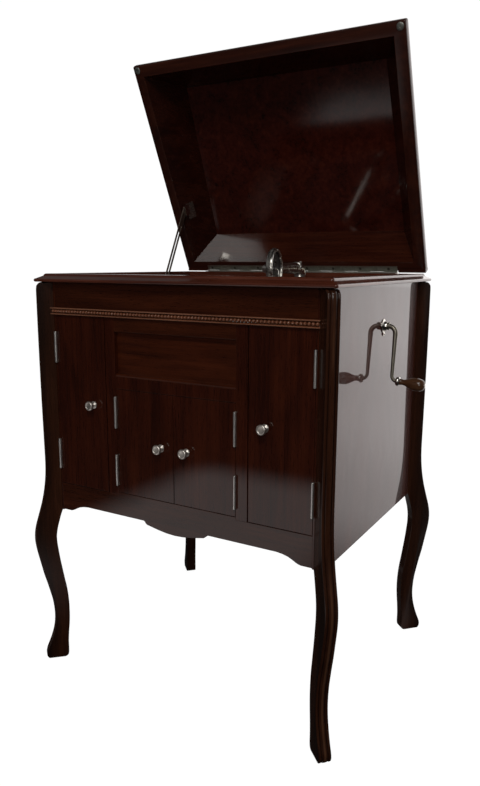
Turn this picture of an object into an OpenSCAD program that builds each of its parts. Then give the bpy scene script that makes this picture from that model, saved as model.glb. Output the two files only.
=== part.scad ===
// Console gramophone cabinet: a mahogany case on four plank cabriole legs,
// with record bays either side, a horn bay behind the centre doors, a sunk
// motor board and a hipped lid. All sizes in millimetres, +Z up, floor at 0.

/* [Case] */
// Width over the side panels
case_w = 625.8; // [600:1:640]
// Depth over the front frame and the back panel
case_d = 509; // [500:1:520]
// Height of the underside of the side panels
case_z0 = 345; // [335:1:347]
// Height of the top of the case walls
case_z1 = 833.5; // [833:0.5:834]
// Thickness of the side panels
side_t = 15; // [12:1:16]
// Thickness of the front frame and the doors
front_t = 18; // [16:1:18]

/* [Legs] */
// Thickness of the leg planks, set on the diagonal
leg_t = 24; // [20:1:24]
// How far the knee stands out from the case corner
knee = 49.6; // [42:0.2:50]

/* [Doors] */
// Where the tall doors hinge, from the middle
tall_hinge_x = 292.4; // [291.9:0.1:292.4]
// Angle that the tall doors open to
tall_open = 110; // [80:1:112]
// Where the centre doors hinge, from the middle
mid_hinge_x = 137.7; // [137.2:0.1:137.8]
// Length of the door butts
butt_l = 63.5; // [50:0.5:64]
// Diameter of the door knobs
knob_d = 19.4; // [16:0.2:20]

/* [Top and lid] */
// Half width of the lower top board
top_hx = 333.8; // [330:0.2:336]
// Half depth of the lower top board
top_hy = 273.2; // [270:0.2:276]
// Half width of the lid
lid_hx = 321; // [318:0.5:322]
// Length of the lid from hinge to free edge
lid_l = 515; // [505:1:520]
// Height of the lid from its rim to the crown board
lid_rise = 77; // [70:1:80]
// Angle that the lid stands open at
lid_open = 64.5; // [60:0.5:68]
// Slope of the crown board, higher towards the lid's free edge
crown_tilt = 2; // [0.5:0.5:3]

/* [Deck] */
// Diameter of the turntable
platter_d = 300; // [254:2:304]
// Radius of the record spindle
spindle_r = 3.6; // [3.5:0.05:3.6]
// Outside radius of the soundbox
box_r = 41; // [36:0.5:41]
// Angle of the tonearm over the deck, measured from the +X side
arm_ang = -79; // [-84:1:-74]

/* [Crank] */
// Throw of the crank
crank_throw = 105; // [95:1:108]
// Lean of the crank arm towards the front
crank_lean = 7.5; // [0:0.5:10]

/* [Hidden] */
$fn = 48;

hx = case_w / 2;              // outer face of the side panels
hy = case_d / 2;              // front plane at -hy, back plane at +hy
ch = leg_t * sqrt(2) / 2;     // width of the corner chamfer along each face
fx = hx - ch;                 // where the chamfer meets the front plane
sy = hy - ch;                 // where the chamfer meets the side plane
ix = hx - side_t;             // inner face of the side panels
yb = -hy + front_t;           // back of the front frame
y_in = yb + 0.2;              // front end of the inner boards
back_t = 12;
y_bk = hy - back_t;           // inner face of the back panel

deck_z = 850;                 // top of the upper board
step_z = 843;                 // top of the lower board
board_z = 787;                // top of the motor board
board_t = 12;
upper_hx = 321;
upper_y0 = -259;
hin_y = 269.9;                // lid hinge pin
hin_z = deck_z + 1;
upper_y1 = hin_y - 3.2;
well_x = 297;                 // opening in the top boards
well_y0 = -235;
well_y1 = 241;

door_z0 = 409;                // tall doors
door_z1 = 766.2;
bead_z0 = 767.4;
bead_z1 = 781.8;
mul_in = mid_hinge_x + 0.5;   // mullion between the centre and tall doors
mul_out = 162;
mid_z0 = 413.6;               // centre doors
mid_z1 = 625.8;
rec_z0 = 651.5;               // recessed panel
rec_z1 = 740;
pin_y = -hy - 3.1;            // door hinge pins
barrel_r = 3;

plat_x = 0; plat_y = -10;     // turntable centre
arm_x = 48; arm_y = 190;      // tonearm pivot
arm_len = 210;
arm_z = 861;
wind_y = 17; wind_z = 751.9;  // winding shaft
crank_x = 338;                // plane of the crank arm

// lid stay: the pivot on the lid and the stud on the case are at the same
// distance from the lid hinge, so the bar turns half as far as the lid does
stay_u = 168; stay_n = 8;
stay_r = sqrt(stay_u * stay_u + stay_n * stay_n);
stud_a = 194.8;
pv_y = hin_y - stay_u * cos(lid_open) + stay_n * sin(lid_open);
pv_z = hin_z + stay_u * sin(lid_open) + stay_n * cos(lid_open);
stud_y = hin_y + stay_r * cos(stud_a);
stud_z = hin_z + stay_r * sin(stud_a);
stay_x = -284;                // inner face of the stay bar
stay_t = 2.4;
stay_w = 7;                    // half its width
stay_open = 2 * stay_r * sin((stud_a - (180 - atan(stay_n / stay_u) - lid_open)) / 2);
stay_shut = 2 * stay_r * sin((stud_a - (180 - atan(stay_n / stay_u))) / 2);

// the frame's origin is on the floor, at the middle of the whole outline
knee_x = hx + (knee + leg_t / 2) * sqrt(2) / 2;
handle_droop = 5;
handle_end = crank_x + 66.1;
ox = (handle_end - knee_x) / 2;
knee_y = hy + (knee + leg_t / 2) * sqrt(2) / 2;
cap_n = lid_rise + 12;
cap_u = 54;
lid_back = hin_y - cap_u * cos(lid_open) + cap_n * sin(lid_open);
oy = (lid_back - knee_y) / 2;

wood = [0.23, 0.07, 0.04];
wood_in = [0.42, 0.24, 0.13];
nickel = [0.78, 0.77, 0.74];
steel = [0.35, 0.35, 0.34];
iron = [0.16, 0.17, 0.18];

module placed() { translate([-ox, -oy, 0]) children(); }
module box(x0, x1, y0, y1, z0, z1) {
  translate([x0, y0, z0]) cube([x1 - x0, y1 - y0, z1 - z0]);
}
module at_corner(sx, sy2) { scale_xy(sx, sy2) children(); }
module scale_xy(sx, sy2) {
  if (sx > 0 && sy2 > 0) children();
  else if (sx < 0 && sy2 > 0) mirror([1, 0, 0]) children();
  else if (sx > 0 && sy2 < 0) mirror([0, 1, 0]) children();
  else mirror([1, 0, 0]) mirror([0, 1, 0]) children();
}
module flip(sx) { if (sx > 0) children(); else mirror([1, 0, 0]) children(); }
// a bar along X, Y or Z
module rod_x(x0, x1, y, z, r) { translate([x0, y, z]) rotate([0, 90, 0]) cylinder(r = r, h = x1 - x0); }
module rod_y(y0, y1, x, z, r) { translate([x, y1, z]) rotate([90, 0, 0]) cylinder(r = r, h = y1 - y0); }
module rod_z(z0, z1, x, y, r) { translate([x, y, z0]) cylinder(r = r, h = z1 - z0); }

// ---- case ----
module side_blank(hole) {
  difference() {
    box(ix, hx, -sy, sy, case_z0, case_z1);
    if (hole) rod_x(ix - 1, hx + 1, wind_y, wind_z, 9);
    if (!hole) rod_x(ix - 1, ix + 9.2, stud_y, stud_z, 2.85);
  }
}
module side_panel_right() { color(wood) side_blank(true); }
module side_panel_left() { color(wood) mirror([1, 0, 0]) side_blank(false); }
module back_panel() { color(wood) box(-fx, fx, y_bk, hy, 352, case_z1); }
module bottom_board() {
  color(wood_in) difference() {
    box(-ix, ix, y_in, y_bk, 394, 406);
    for (sx = [-1, 1]) for (s = [-1, 1]) scale_xy(sx, s) box(275.9, ix + 1, 213.9, 260, 390, 410);
  }
}
// full-width frieze, and the short rail under it over the recess
module frieze_board() {
  color(wood) {
    box(-292.8, 292.8, -hy, yb, 767.05, case_z1);
    box(-mul_in, mul_in, -hy, yb, rec_z1, 767);
  }
}
// lower edge of the apron, half of it, from the middle outwards
apron_pts = [[0, 347.5], [20, 348.6], [40, 351.5], [60, 355.4], [68, 357], [71, 359.5], [73, 362.5], [76, 364],
  [223, 364], [235, 362.6], [246, 359.8], [254, 356.2], [261, 352.4], [266, 350.2], [271, 349], [292.8, 349]];
module apron_rail() {
  n = len(apron_pts);
  half = [for (i = [0 : n - 1]) apron_pts[n - 1 - i]];
  color(wood) translate([0, yb, 0]) rotate([90, 0, 0]) linear_extrude(front_t)
    polygon(concat([for (p = half) [-p[0], p[1]]], [for (i = [1 : n - 1]) apron_pts[i]],
      [[292.8, 407.6], [mul_out, 407.6], [mul_in, 407.6], [mul_in, 412.4], [-mul_in, 412.4], [-mul_in, 407.6],
       [-292.8, 407.6]]));
}
module face_frame() {
  color(wood) {
    for (sx = [-1, 1]) difference() {
      flip(sx) box(mul_in, mul_out, -hy, yb, 407.6, 767);
      for (z = mid_butts) flip(sx) leaf_pocket_fixed(mid_hinge_x, z);
    }
    box(-mul_in + 0.05, mul_in - 0.05, -hy, yb, 627, rec_z0);
  }
}
module recess_panel() {
  color(wood) {
    box(-mul_in, mul_in, -hy + 9, -hy + 15, rec_z0, rec_z1);
    translate([-mul_in, 0, 0]) rotate([90, 0, 90]) linear_extrude(2 * mul_in)
      polygon([[-hy + 8.95, rec_z0], [-hy + 8.95, rec_z0 + 5.5], [-hy + 6, rec_z0 + 5], [-hy + 1.5, rec_z0 + 2.5], [-hy + 0.5, rec_z0]]);
  }
}
module bead_strip() {
  color([0.36, 0.19, 0.11]) translate([0, 0, bead_z0]) linear_extrude(bead_z1 - bead_z0)
    polygon([[-fx, -hy], [-fx - 4.5, -hy - 4.5], [-fx - 4.5, -hy - 7], [fx + 4.5, -hy - 7], [fx + 4.5, -hy - 4.5], [fx, -hy]]);
}
// each corner: the outer stile, and the block glued behind it up to the motor board
module front_post() {
  difference() {
    translate([0, 0, 347]) linear_extrude(case_z1 - 347) polygon([[292.9, -hy], [fx, -hy], [hx, -sy], [292.9, -sy]]);
    for (z = tall_butts) leaf_pocket_fixed(tall_hinge_x, z);
  }
  box(276, ix, y_in, -214, 347, board_z - board_t);
}
module back_post() {
  translate([0, 0, 347]) linear_extrude(case_z1 - 347) polygon([[fx, hy], [hx, sy], [ix, sy], [ix, y_bk], [fx, y_bk]]);
  box(276, ix, 214, y_bk, 347, board_z - board_t);
}
module corner_posts() {
  color(wood) for (sx = [-1, 1]) { flip(sx) front_post(); flip(sx) back_post(); }
}

// ---- legs: planks on the diagonal, [distance out from the case corner, height] ----
leg_out = [[9, 833.3], [15, 831.8], [19.5, 828], [22, 821.5], [22.5, 800], [22.5, 700], [22, 600], [21, 500], [20.6, 452],
  [21.6, 425], [24, 402], [27.5, 381], [31.5, 363], [36.5, 345], [41.5, 328], [46, 312], [knee - 0.8, 297],
  [knee, 281], [knee - 1.4, 265], [44.8, 247], [39.8, 224], [34.5, 200], [29, 180], [23.5, 158], [19.2, 139],
  [16.6, 121], [15.4, 103], [16.1, 86], [18.4, 71], [22, 57], [26.8, 42], [31.6, 30], [35.6, 20], [37, 13], [36, 5.5], [32, 0]];
leg_in = [[-5, 0], [-10, 3.5], [-12, 13], [-12, 34], [-13.5, 58], [-15.8, 82], [-16.8, 106], [-16, 130], [-13.5, 154],
  [-9.3, 178], [-5, 204], [-1.5, 226], [1.2, 247], [3.2, 266], [3.2, 286], [0.6, 304], [-3.5, 320], [-7.5, 334], [-12, 347], [-12, 833.3]];
// smooth points through a list: three extra points in each interval
function cr(a, b, c, d, t) = 0.5 * ((2 * b) + (c - a) * t + (2 * a - 5 * b + 4 * c - d) * t * t + (3 * b - a - 3 * c + d) * t * t * t);
function smooth(p, k) = [for (i = [0 : len(p) - 2]) for (j = [0 : k - 1])
  cr(p[max(i - 1, 0)], p[i], p[i + 1], p[min(i + 2, len(p) - 1)], j / k)];
leg_face = concat(smooth(leg_out, 3), [leg_out[len(leg_out) - 1]], smooth([for (i = [0 : len(leg_in) - 2]) leg_in[i]], 3), [leg_in[len(leg_in) - 2], leg_in[len(leg_in) - 1]]);
module leg() {
  // profile's first axis runs out along the diagonal, second is height
  translate([hx, hy, 0]) rotate([0, 0, 45]) rotate([90, 0, 0]) translate([0, 0, -leg_t / 2]) linear_extrude(leg_t) polygon(leg_face);
}
module legs() { color(wood) for (sx = [-1, 1]) for (s = [-1, 1]) scale_xy(sx, s) leg(); }

// ---- inside ----
module partitions() {
  color(wood_in) for (sx = [-1, 1]) difference() {
    flip(sx) box(142, 158, y_in, y_bk, 406, board_z - board_t);
    rod_x(130, 170, wind_y, wind_z, 9);
  }
}
module motor_board() {
  color(wood) difference() {
    box(-ix, ix, y_in, y_bk, board_z - board_t, board_z);
    rod_z(board_z - 20, board_z + 5, plat_x, plat_y, 9);
    rod_z(board_z - 20, board_z + 5, arm_x, arm_y, 20.5);
    box(stay_x - 6.4, stay_x + 4, 80, 124, board_z - 20, board_z + 5);
    for (p = motor_bolts) rod_z(board_z - 20, board_z + 5, p[0], p[1], 3);
    rod_z(board_z - 20, board_z + 5, brake_px, brake_py, 3);
    rod_z(board_z - 20, board_z + 5, -175, -150, 3);
  }
}
module frame_board(bx, y0, y1, z0, z1, c) {
  difference() {
    union() {
      box(-bx, bx, y0, y1, z0 + c, z1 - c);
      box(-bx + c, bx - c, y0 + c, y1 - c, z0, z1);
    }
    box(-well_x, well_x, well_y0, well_y1, z0 - 1, z1 + 1);
  }
}
module top_lower_board() { color(wood) frame_board(top_hx, -top_hy, top_hy, case_z1, step_z, 2.5); }
module top_upper_board() { color(wood) frame_board(upper_hx, upper_y0, upper_y1, step_z, deck_z, 1.5); }
// the horn: four boards that widen from the throat to the mouth
module horn_part(plan, side) {
  intersection() {
    translate([0, 0, 300]) linear_extrude(400) polygon(plan);
    translate([-300, 0, 0]) rotate([90, 0, 90]) linear_extrude(600) polygon(side);
  }
}
module tone_chamber() {
  w = 3.5;
  y1 = 165;
  full = [[-138.4 - w, yb], [138.4 + w, yb], [66 + w, y1], [30 - w, y1]];
  between = [[yb, 412.25], [yb, 627.15], [y1, 627.95], [y1, 592.05]];
  color(wood_in) {
    horn_part(full, [[yb, 627.2], [yb, 627.2 + w], [y1, 628 + w], [y1, 628]]);
    horn_part(full, [[yb, 412.2 - w], [yb, 412.2], [y1, 592], [y1, 592 - w]]);
    horn_part([[-138.4 - w, yb], [-138.4, yb], [30, y1], [30 - w, y1]], between);
    horn_part([[138.4, yb], [138.4 + w, yb], [66 + w, y1], [66, y1]], between);
  }
}
// cast elbow: flange and pipe under the board, square box to the throat
module horn_elbow() {
  color(iron) difference() {
    union() {
      rod_z(770, board_z - board_t, arm_x, arm_y, 30);
      rod_z(638, 771, arm_x, arm_y, 20);
      box(arm_x - 22, arm_x + 22, 166, 212, 588, 640);
      box(arm_x - 26, arm_x + 26, 165, 168, 584, 636);
    }
    rod_z(628, 790, arm_x, arm_y, 17);
    box(arm_x - 18, arm_x + 18, 160, 208, 592, 629);
  }
}

// ---- door hinges ----
tall_butts = [668.6, 441.5];
mid_butts = [547.2, 428.8];
module leaf_pocket_fixed(px, z) { box(px + 0.4, px + 2.1, -hy - 1, -240, z - 0.2, z + butt_l + 0.2); }
module leaf_pocket_moving(px, z) { box(px - 2.1, px - 0.4, -hy - 1, -240, z - 0.2, z + butt_l + 0.2); }
kn = 5;
kl = butt_l / kn;
// fixed leaf: knuckles 0, 2 and 4
module fixed_leaf(px, z) {
  difference() {
    union() {
      box(px + 0.5, px + 2, pin_y + 3.4, -240.2, z, z + butt_l);
      for (i = [0, 2, 4]) {
        rod_z(z + i * kl + 0.15, z + (i + 1) * kl - 0.15, px, pin_y, barrel_r);
        box(px + 0.5, px + 2, pin_y, pin_y + 3.5, z + i * kl + 0.15, z + (i + 1) * kl - 0.15);
      }
    }
    rod_z(z - 1, z + butt_l + 1, px, pin_y, 1.5);
  }
}
module moving_leaf(px, z) {
  difference() {
    union() {
      box(px - 2, px - 0.5, pin_y + 3.4, -240.2, z, z + butt_l);
      for (i = [1, 3]) {
        rod_z(z + i * kl + 0.15, z + (i + 1) * kl - 0.15, px, pin_y, barrel_r);
        box(px - 2, px - 0.5, pin_y, pin_y + 3.5, z + i * kl + 0.15, z + (i + 1) * kl - 0.15);
      }
    }
    rod_z(z - 1, z + butt_l + 1, px, pin_y, 1.55);
  }
}
module door_hinge_fixed_leaves() {
  color(nickel) for (sx = [-1, 1]) flip(sx) {
    for (z = tall_butts) fixed_leaf(tall_hinge_x, z);
    for (z = mid_butts) fixed_leaf(mid_hinge_x, z);
  }
}
module hinge_pins() {
  color(steel) rod_x(-lh_half, lh_half, hin_y, hin_z, 1.25);
  color(steel) for (sx = [-1, 1]) flip(sx) {
    for (z = tall_butts) rod_z(z - 0.5, z + butt_l + 0.5, tall_hinge_x, pin_y, 1.5);
    for (z = mid_butts) rod_z(z - 0.5, z + butt_l + 0.5, mid_hinge_x, pin_y, 1.5);
  }
}
// ---- doors: free edge relieved at the back so that it clears as it swings ----
module door(px, xf, z0, z1, butts, kx, kz) {
  difference() {
    translate([0, 0, z0]) linear_extrude(z1 - z0)
      polygon([[xf, -hy], [px - 0.5, -hy], [px - 0.5, yb], [xf + 2.4, yb]]);
    for (z = butts) leaf_pocket_moving(px, z);
    rod_y(-hy - 1, yb - 3, kx, kz, 2.2);
  }
}
module knob(kx, kz) {
  translate([kx, -hy, kz]) rotate([90, 0, 0]) rotate_extrude()
    // base rosette, waist, broad disc with a shallow dish in its face
    polygon([[0, -12], [2.1, -12], [2.1, 0], [7.6, 0], [7.6, 1], [6.4, 1.8], [5.6, 2.7], [4.2, 3.6], [3.5, 5.5], [3.9, 7.8], [5.2, 9.4], [7.3, 10.6],
      [knob_d / 2 - 0.8, 11.6], [knob_d / 2, 13.2], [knob_d / 2 - 0.2, 15], [knob_d / 2 - 1.3, 16.5], [knob_d / 2 - 2.6, 16.9], [6.2, 16.5], [5.2, 16], [0, 15.85]]);
}
module tall_door_right() { color(wood) door(tall_hinge_x, 164.4, door_z0, door_z1, tall_butts, 197.3, 587.6); }
module tall_door_left() { color(wood) mirror([1, 0, 0]) door(tall_hinge_x, 164.4, door_z0, door_z1, tall_butts, 197.3, 587.6); }
module centre_door_right() { color(wood) door(mid_hinge_x, 0.6, mid_z0, mid_z1, mid_butts, 29.8, 519.8); }
module centre_door_left() { color(wood) mirror([1, 0, 0]) door(mid_hinge_x, 0.6, mid_z0, mid_z1, mid_butts, 29.8, 519.8); }
module tall_knob_right() { color(nickel) knob(197.3, 587.6); }
module tall_knob_left() { color(nickel) knob(-197.3, 587.6); }
module centre_knob_right() { color(nickel) knob(29.8, 519.8); }
module centre_knob_left() { color(nickel) knob(-29.8, 519.8); }
module tall_leaves_right() { color(nickel) for (z = tall_butts) moving_leaf(tall_hinge_x, z); }
module tall_leaves_left() { color(nickel) mirror([1, 0, 0]) for (z = tall_butts) moving_leaf(tall_hinge_x, z); }
module centre_leaves_right() { color(nickel) for (z = mid_butts) moving_leaf(mid_hinge_x, z); }
module centre_leaves_left() { color(nickel) mirror([1, 0, 0]) for (z = mid_butts) moving_leaf(mid_hinge_x, z); }

// ---- lid, drawn shut about its hinge pin and then turned open ----
module lid_turned() { translate([0, hin_y, hin_z]) rotate([-lid_open, 0, 0]) children(); }
rim_w = 25;
rim_in = lid_hx - rim_w;
crown_t = 12;
// height of the crown board's underside at distance u from the hinge
function crown_n(u) = cap_n - crown_t / cos(crown_tilt) + (u - cap_u) * tan(crown_tilt);
// block that narrows from z0 up to the sloping crown: two prisms crossed. x0 and x1 are its half
// widths at z0 and at height zx, u0 and u1 its ends at z0, v0 and v1 its ends at the top
module hip(x0, x1, zx, u0, u1, v0, v1, z0, over) {
  k = (x0 - x1) / (zx - z0);
  intersection() {
    translate([0, 10, 0]) rotate([90, 0, 0]) linear_extrude(lid_l + 20)
      polygon([[-x0, z0], [x0, z0], [x0 - k * (120 - z0), 120], [-x0 + k * (120 - z0), 120]]);
    translate([-400, 0, 0]) rotate([90, 0, 90]) linear_extrude(800)
      polygon([[-u1, z0], [-u0, z0], [-v0, crown_n(v0) + over], [-v1, crown_n(v1) + over]]);
  }
}
module lid_rim() {
  color(wood) lid_turned() difference() {
    union() {
      box(-lid_hx, lid_hx, -lid_l, -3.2, 3, 18);
      box(-lid_hx + 2, lid_hx - 2, -lid_l + 2, -5.2, 1, 20);
      box(-lid_hx, lid_hx, -40, -3.2, 1, 10);
    }
    box(-rim_in, rim_in, -lid_l + rim_w, -3.2 - rim_w + 3, -1, 30);
  }
}
wall_out = rim_in + 13.5;
wall_top = 254.5; // inner half width at the height lid_rise
module lid_walls() {
  color(wood) lid_turned() difference() {
    union() {
      box(-rim_in, rim_in, -lid_l + rim_w, -rim_w - 0.2, 1, 21);
      hip(wall_out - 8, wall_top + 11, lid_rise, 18, lid_l - 14, 60, lid_l - 61, 20, 0);
    }
    hip(rim_in - 0.5, wall_top, lid_rise, 26, lid_l - rim_w - 0.5, 70, lid_l - 78, 0.9, 0.01);
  }
}
module lid_crown() {
  color(wood) lid_turned() translate([0, -cap_u, cap_n]) rotate([-crown_tilt, 0, 0])
    box(-268, 268, -lid_l + 57.7 + cap_u, 0, -crown_t, 0);
}
// continuous hinge: leaves, knuckles and pin
lh_half = 256;
lh_n = 16;
lh_p = 2 * lh_half / lh_n;
module hinge_side(k, z0, z1) {
  difference() {
    union() {
      box(-lh_half, lh_half, -16, -3.1, z0, z1);
      for (i = [k : 2 : lh_n - 1]) {
        rod_x(-lh_half + i * lh_p + 0.2, -lh_half + (i + 1) * lh_p - 0.2, 0, 0, 2.6);
        box(-lh_half + i * lh_p + 0.2, -lh_half + (i + 1) * lh_p - 0.2, -3.2, 0, z0, z1);
      }
    }
    rod_x(-lh_half - 1, lh_half + 1, 0, 0, k == 0 ? 1.25 : 1.3);
  }
}
module lid_hinge_fixed_leaf() { color(nickel) translate([0, hin_y, hin_z]) hinge_side(0, -1, -0.1); }
module lid_hinge_moving_leaf() { color(nickel) lid_turned() hinge_side(1, 0.1, 1); }
module lid_buffers() {
  color([0.45, 0.45, 0.44]) lid_turned() for (sx = [-1, 1]) translate([sx * 309.6, -lid_l + 10.8, 1]) mirror([0, 0, 1])
    rotate_extrude() polygon([[0, 0], [7.5, 0], [7.2, 0.8], [5.5, 1.4], [3, 1.7], [0, 1.8]]);
}
module stay_bracket() {
  // foot plate on the sloping wall, lug beside the bar, and the rivet
  color(nickel) lid_turned() {
    translate([-rim_in + 0.55, -178, 0.9]) rotate([0, atan((rim_in - 0.5 - wall_top) / (lid_rise - 0.9)), 0]) translate([0, 0, 20]) cube([1.8, 40, 20]);
    box(-283.4, -281.4, -178, -150, 3, 22.8);
    rod_x(-287.6, -281.5, -stay_u, stay_n, 3);
    rod_x(-287.6, -286.7, -stay_u, stay_n, 5);
  }
}
module stay_bar() {
  ang = atan2(stud_z - pv_z, stud_y - pv_y);
  color(steel) translate([stay_x - stay_t, pv_y, pv_z]) rotate([ang, 0, 0]) difference() {
    union() {
      box(0, stay_t, 0, stay_open + 3, -stay_w, stay_w);
      rod_x(0, stay_t, 0, 0, stay_w);
      rod_x(0, stay_t, stay_open + 3, 0, stay_w);
    }
    rod_x(-1, 4, 0, 0, 3.06);
    box(-1, 4, stay_shut - 3, stay_open, -2.9, 2.9);
    rod_x(-1, 4, stay_shut - 3, 0, 2.9);
    rod_x(-1, 4, stay_open, 0, 2.9);
  }
}
module stay_stud() {
  color(nickel) {
    rod_x(-ix - 9, stay_x + 2, stud_y, stud_z, 2.8);
    rod_x(-ix, stay_x - stay_t - 0.3, stud_y, stud_z, 6);
    rod_x(stay_x + 0.3, stay_x + 3, stud_y, stud_z, 6);
  }
}

// ---- turntable and motor ----
module turntable_platter() {
  r = platter_d / 2;
  color(nickel) translate([plat_x, plat_y, 0]) rotate_extrude()
    polygon([[5, 797], [14, 797], [14, 804], [18, 806.5], [r - 6, 806.5], [r - 4, 797], [r - 1, 797], [r, 799], [r, 808], [r - 2, 810], [5, 810]]);
}
module turntable_mat() {
  color([0.25, 0.12, 0.1]) translate([plat_x, plat_y, 810]) difference() {
    cylinder(r = platter_d / 2 - 2, h = 1.5);
    translate([0, 0, -1]) cylinder(r = 5, h = 4);
  }
}
// spur gear with straight-sided teeth, n teeth of module 1, axis on Z
function tooth(n, i, c) = let (a = 360 / n, r = n / 2)
  [[(r - 1.25) * cos(a * (i - 0.28)), (r - 1.25) * sin(a * (i - 0.28))],
   [(r + 0.95 - c) * cos(a * (i - 0.11)), (r + 0.95 - c) * sin(a * (i - 0.11))],
   [(r + 0.95 - c) * cos(a * (i + 0.11)), (r + 0.95 - c) * sin(a * (i + 0.11))],
   [(r - 1.25) * cos(a * (i + 0.28)), (r - 1.25) * sin(a * (i + 0.28))]];
module gear(n, h, ph) { rotate([0, 0, ph]) linear_extrude(h) polygon([for (i = [0 : n - 1]) for (p = tooth(n, i, 0)) p]); }
motor_bolts = [[-108, -58], [-108, 66], [60, -58], [60, 66]];
bar_x = -62; bar_y = wind_y;  // spring barrel
idl_d1 = 49.2;                // working centre distances, teeth in mesh with play
idl_d2 = 37.2;
bs = sqrt((plat_x - bar_x) * (plat_x - bar_x) + (plat_y - bar_y) * (plat_y - bar_y));
idl_a = (idl_d1 * idl_d1 - idl_d2 * idl_d2 + bs * bs) / (2 * bs);
idl_h = sqrt(idl_d1 * idl_d1 - idl_a * idl_a);
bs_a = atan2(plat_y - bar_y, plat_x - bar_x);
idl_x = bar_x + idl_a * cos(bs_a) + idl_h * sin(bs_a);
idl_y = bar_y + idl_a * sin(bs_a) - idl_h * cos(bs_a);
a_bi = atan2(idl_y - bar_y, idl_x - bar_x);
a_is = atan2(plat_y - idl_y, plat_x - idl_x);
module turntable_spindle() {
  color(steel) {
    translate([plat_x, plat_y, 0]) rotate_extrude()
      polygon([[0, 671], [3, 671], [3, 673], [5, 675], [5, 690], [12, 690], [12, 700], [5, 700], [5, 795], [9, 795], [9, 797], [4.97, 797], [4.97, 810],
        [spindle_r, 811.5], [spindle_r, 827], [2, 829], [0, 829.5]]);
    // worm wheel, and the pinion with one gap facing the idler
    translate([plat_x, plat_y, 690]) gear(40, 10, 0);
    translate([plat_x, plat_y, 722]) gear(12, 9, a_is + 180 + 15);
  }
}
module idler_gear() {
  color([0.7, 0.55, 0.25]) translate([idl_x, idl_y, 0]) {
    rod_z(670, 767.5, 0, 0, 2.5);
    translate([0, 0, 723.5]) gear(60, 5, a_is);
    translate([0, 0, 709]) gear(12, 10, a_bi + 180);
    rod_z(718, 724, 0, 0, 5);
  }
}
module spring_barrel() {
  color([0.7, 0.55, 0.25]) translate([bar_x, bar_y, 0]) difference() {
    union() {
      rod_z(678, 713, 0, 0, 38.5);
      translate([0, 0, 711.5]) gear(84, 5, a_bi + 360 / 84 / 2);
    }
    rod_z(681, 708, 0, 0, 36.5);
    rod_z(670, 720, 0, 0, 6.08);
  }
}
// flat spiral, nine turns between the arbor and the barrel wall
module mainspring() {
  n = 216;
  function sp(i, w) = [(36 - w - i * 21 / n) * cos(i * 15), (36 - w - i * 21 / n) * sin(i * 15)];
  color(steel) translate([bar_x, bar_y, 683]) linear_extrude(23)
    polygon(concat([for (i = [0 : n]) sp(i, 0)], [for (i = [0 : n]) sp(n - i, 0.8)]));
}
module winding_arbor() {
  color(steel) translate([bar_x, bar_y, 0]) {
    rod_z(672, 766, 0, 0, 6);
    rod_z(735, 741.6, 0, 0, 28);
    // crown teeth, 48 of them, standing on the rim
    difference() {
      for (i = [0 : 47]) rotate([0, 0, 7.5 * i + 3.75]) box(21.6, 27.4, -0.5, 0.5, 741, 744.2);
    }
    rod_z(720, 736, 0, 0, 11);
    // spring anchor: a hook that the mainspring holds to
    rod_z(684, 704, 0, 0, 9);
  }
}
gov_x = 27.6; gov_z = 695;
module governor() {
  color([0.7, 0.55, 0.25]) {
    rod_y(-53, 64, gov_x, gov_z, 2.5);
    rod_y(-22, 4, gov_x, gov_z, 6);
    rod_y(8, 13, gov_x, gov_z, 8);
    rod_y(44, 47, gov_x, gov_z, 17);
    rod_y(47, 52, gov_x, gov_z, 7);
    for (a = [0, 120, 240]) translate([gov_x, 0, gov_z]) rotate([0, a, 0]) {
      translate([0, 28, 15]) sphere(r = 6);
      translate([-2.5, 11, 4]) rotate([-60, 0, 0]) cube([5, 1, 18]);
      translate([-2.5, 46, 4]) rotate([60, 0, 0]) translate([0, -1, 0]) cube([5, 1, 18]);
    }
  }
}
module motor_plate(z0, z1) {
  difference() {
    box(-118, 70, -68, 76, z0, z1);
    rod_z(z0 - 1, z1 + 1, plat_x, plat_y, z0 > 700 ? 5.06 : 3.06);
    rod_z(z0 - 1, z1 + 1, idl_x, idl_y, 2.56);
    rod_z(z0 - 1, z1 + 1, bar_x, bar_y, 6.06);
  }
}
module motor_top_plate() {
  color(iron) {
    motor_plate(762, 767);
    for (p = motor_bolts) rod_z(767, board_z - board_t, p[0], p[1], 8);
    for (p = motor_bolts) rod_z(board_z - board_t, board_z, p[0], p[1], 2.9);
    for (p = motor_bolts) rod_z(board_z, board_z + 2.5, p[0], p[1], 6);
    for (x = [-30, 40]) difference() {
      box(x, x + 8, wind_y - 12, wind_y + 12, 744.5, 762);
      rod_x(x - 5, x + 15, wind_y, wind_z, 5.06);
    }
  }
}
module motor_frame() {
  color(iron) {
    motor_plate(668, 673);
    for (p = motor_bolts) rod_z(673, 762, p[0], p[1], 5);
    for (y = [[-52, -44], [56, 63]]) difference() {
      box(21, 34, y[0], y[1], 673, 702);
      rod_y(-60, 70, gov_x, gov_z, 2.56);
    }
  }
}
brake_px = 158; brake_py = -84;
module brake_lever() {
  // arm, felt pad beside the turntable rim, finger tab
  color(nickel) translate([brake_px, brake_py, 0]) {
    rod_z(board_z - board_t + 1, board_z + 8, 0, 0, 2.9);
    rod_z(board_z + 0.5, board_z + 8, 0, 0, 8);
    rotate([0, 0, -142]) box(0, 58, -4, 4, board_z + 2, board_z + 5);
    rotate([0, 0, 20]) box(0, 34, -4, 4, board_z + 3, board_z + 6);
    rotate([0, 0, 20]) rod_z(board_z + 3, board_z + 12, 34, 0, 6);
    rotate([0, 0, -142]) rod_z(board_z + 2, board_z + 20, 58, 0, 4);
  }
}
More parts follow.
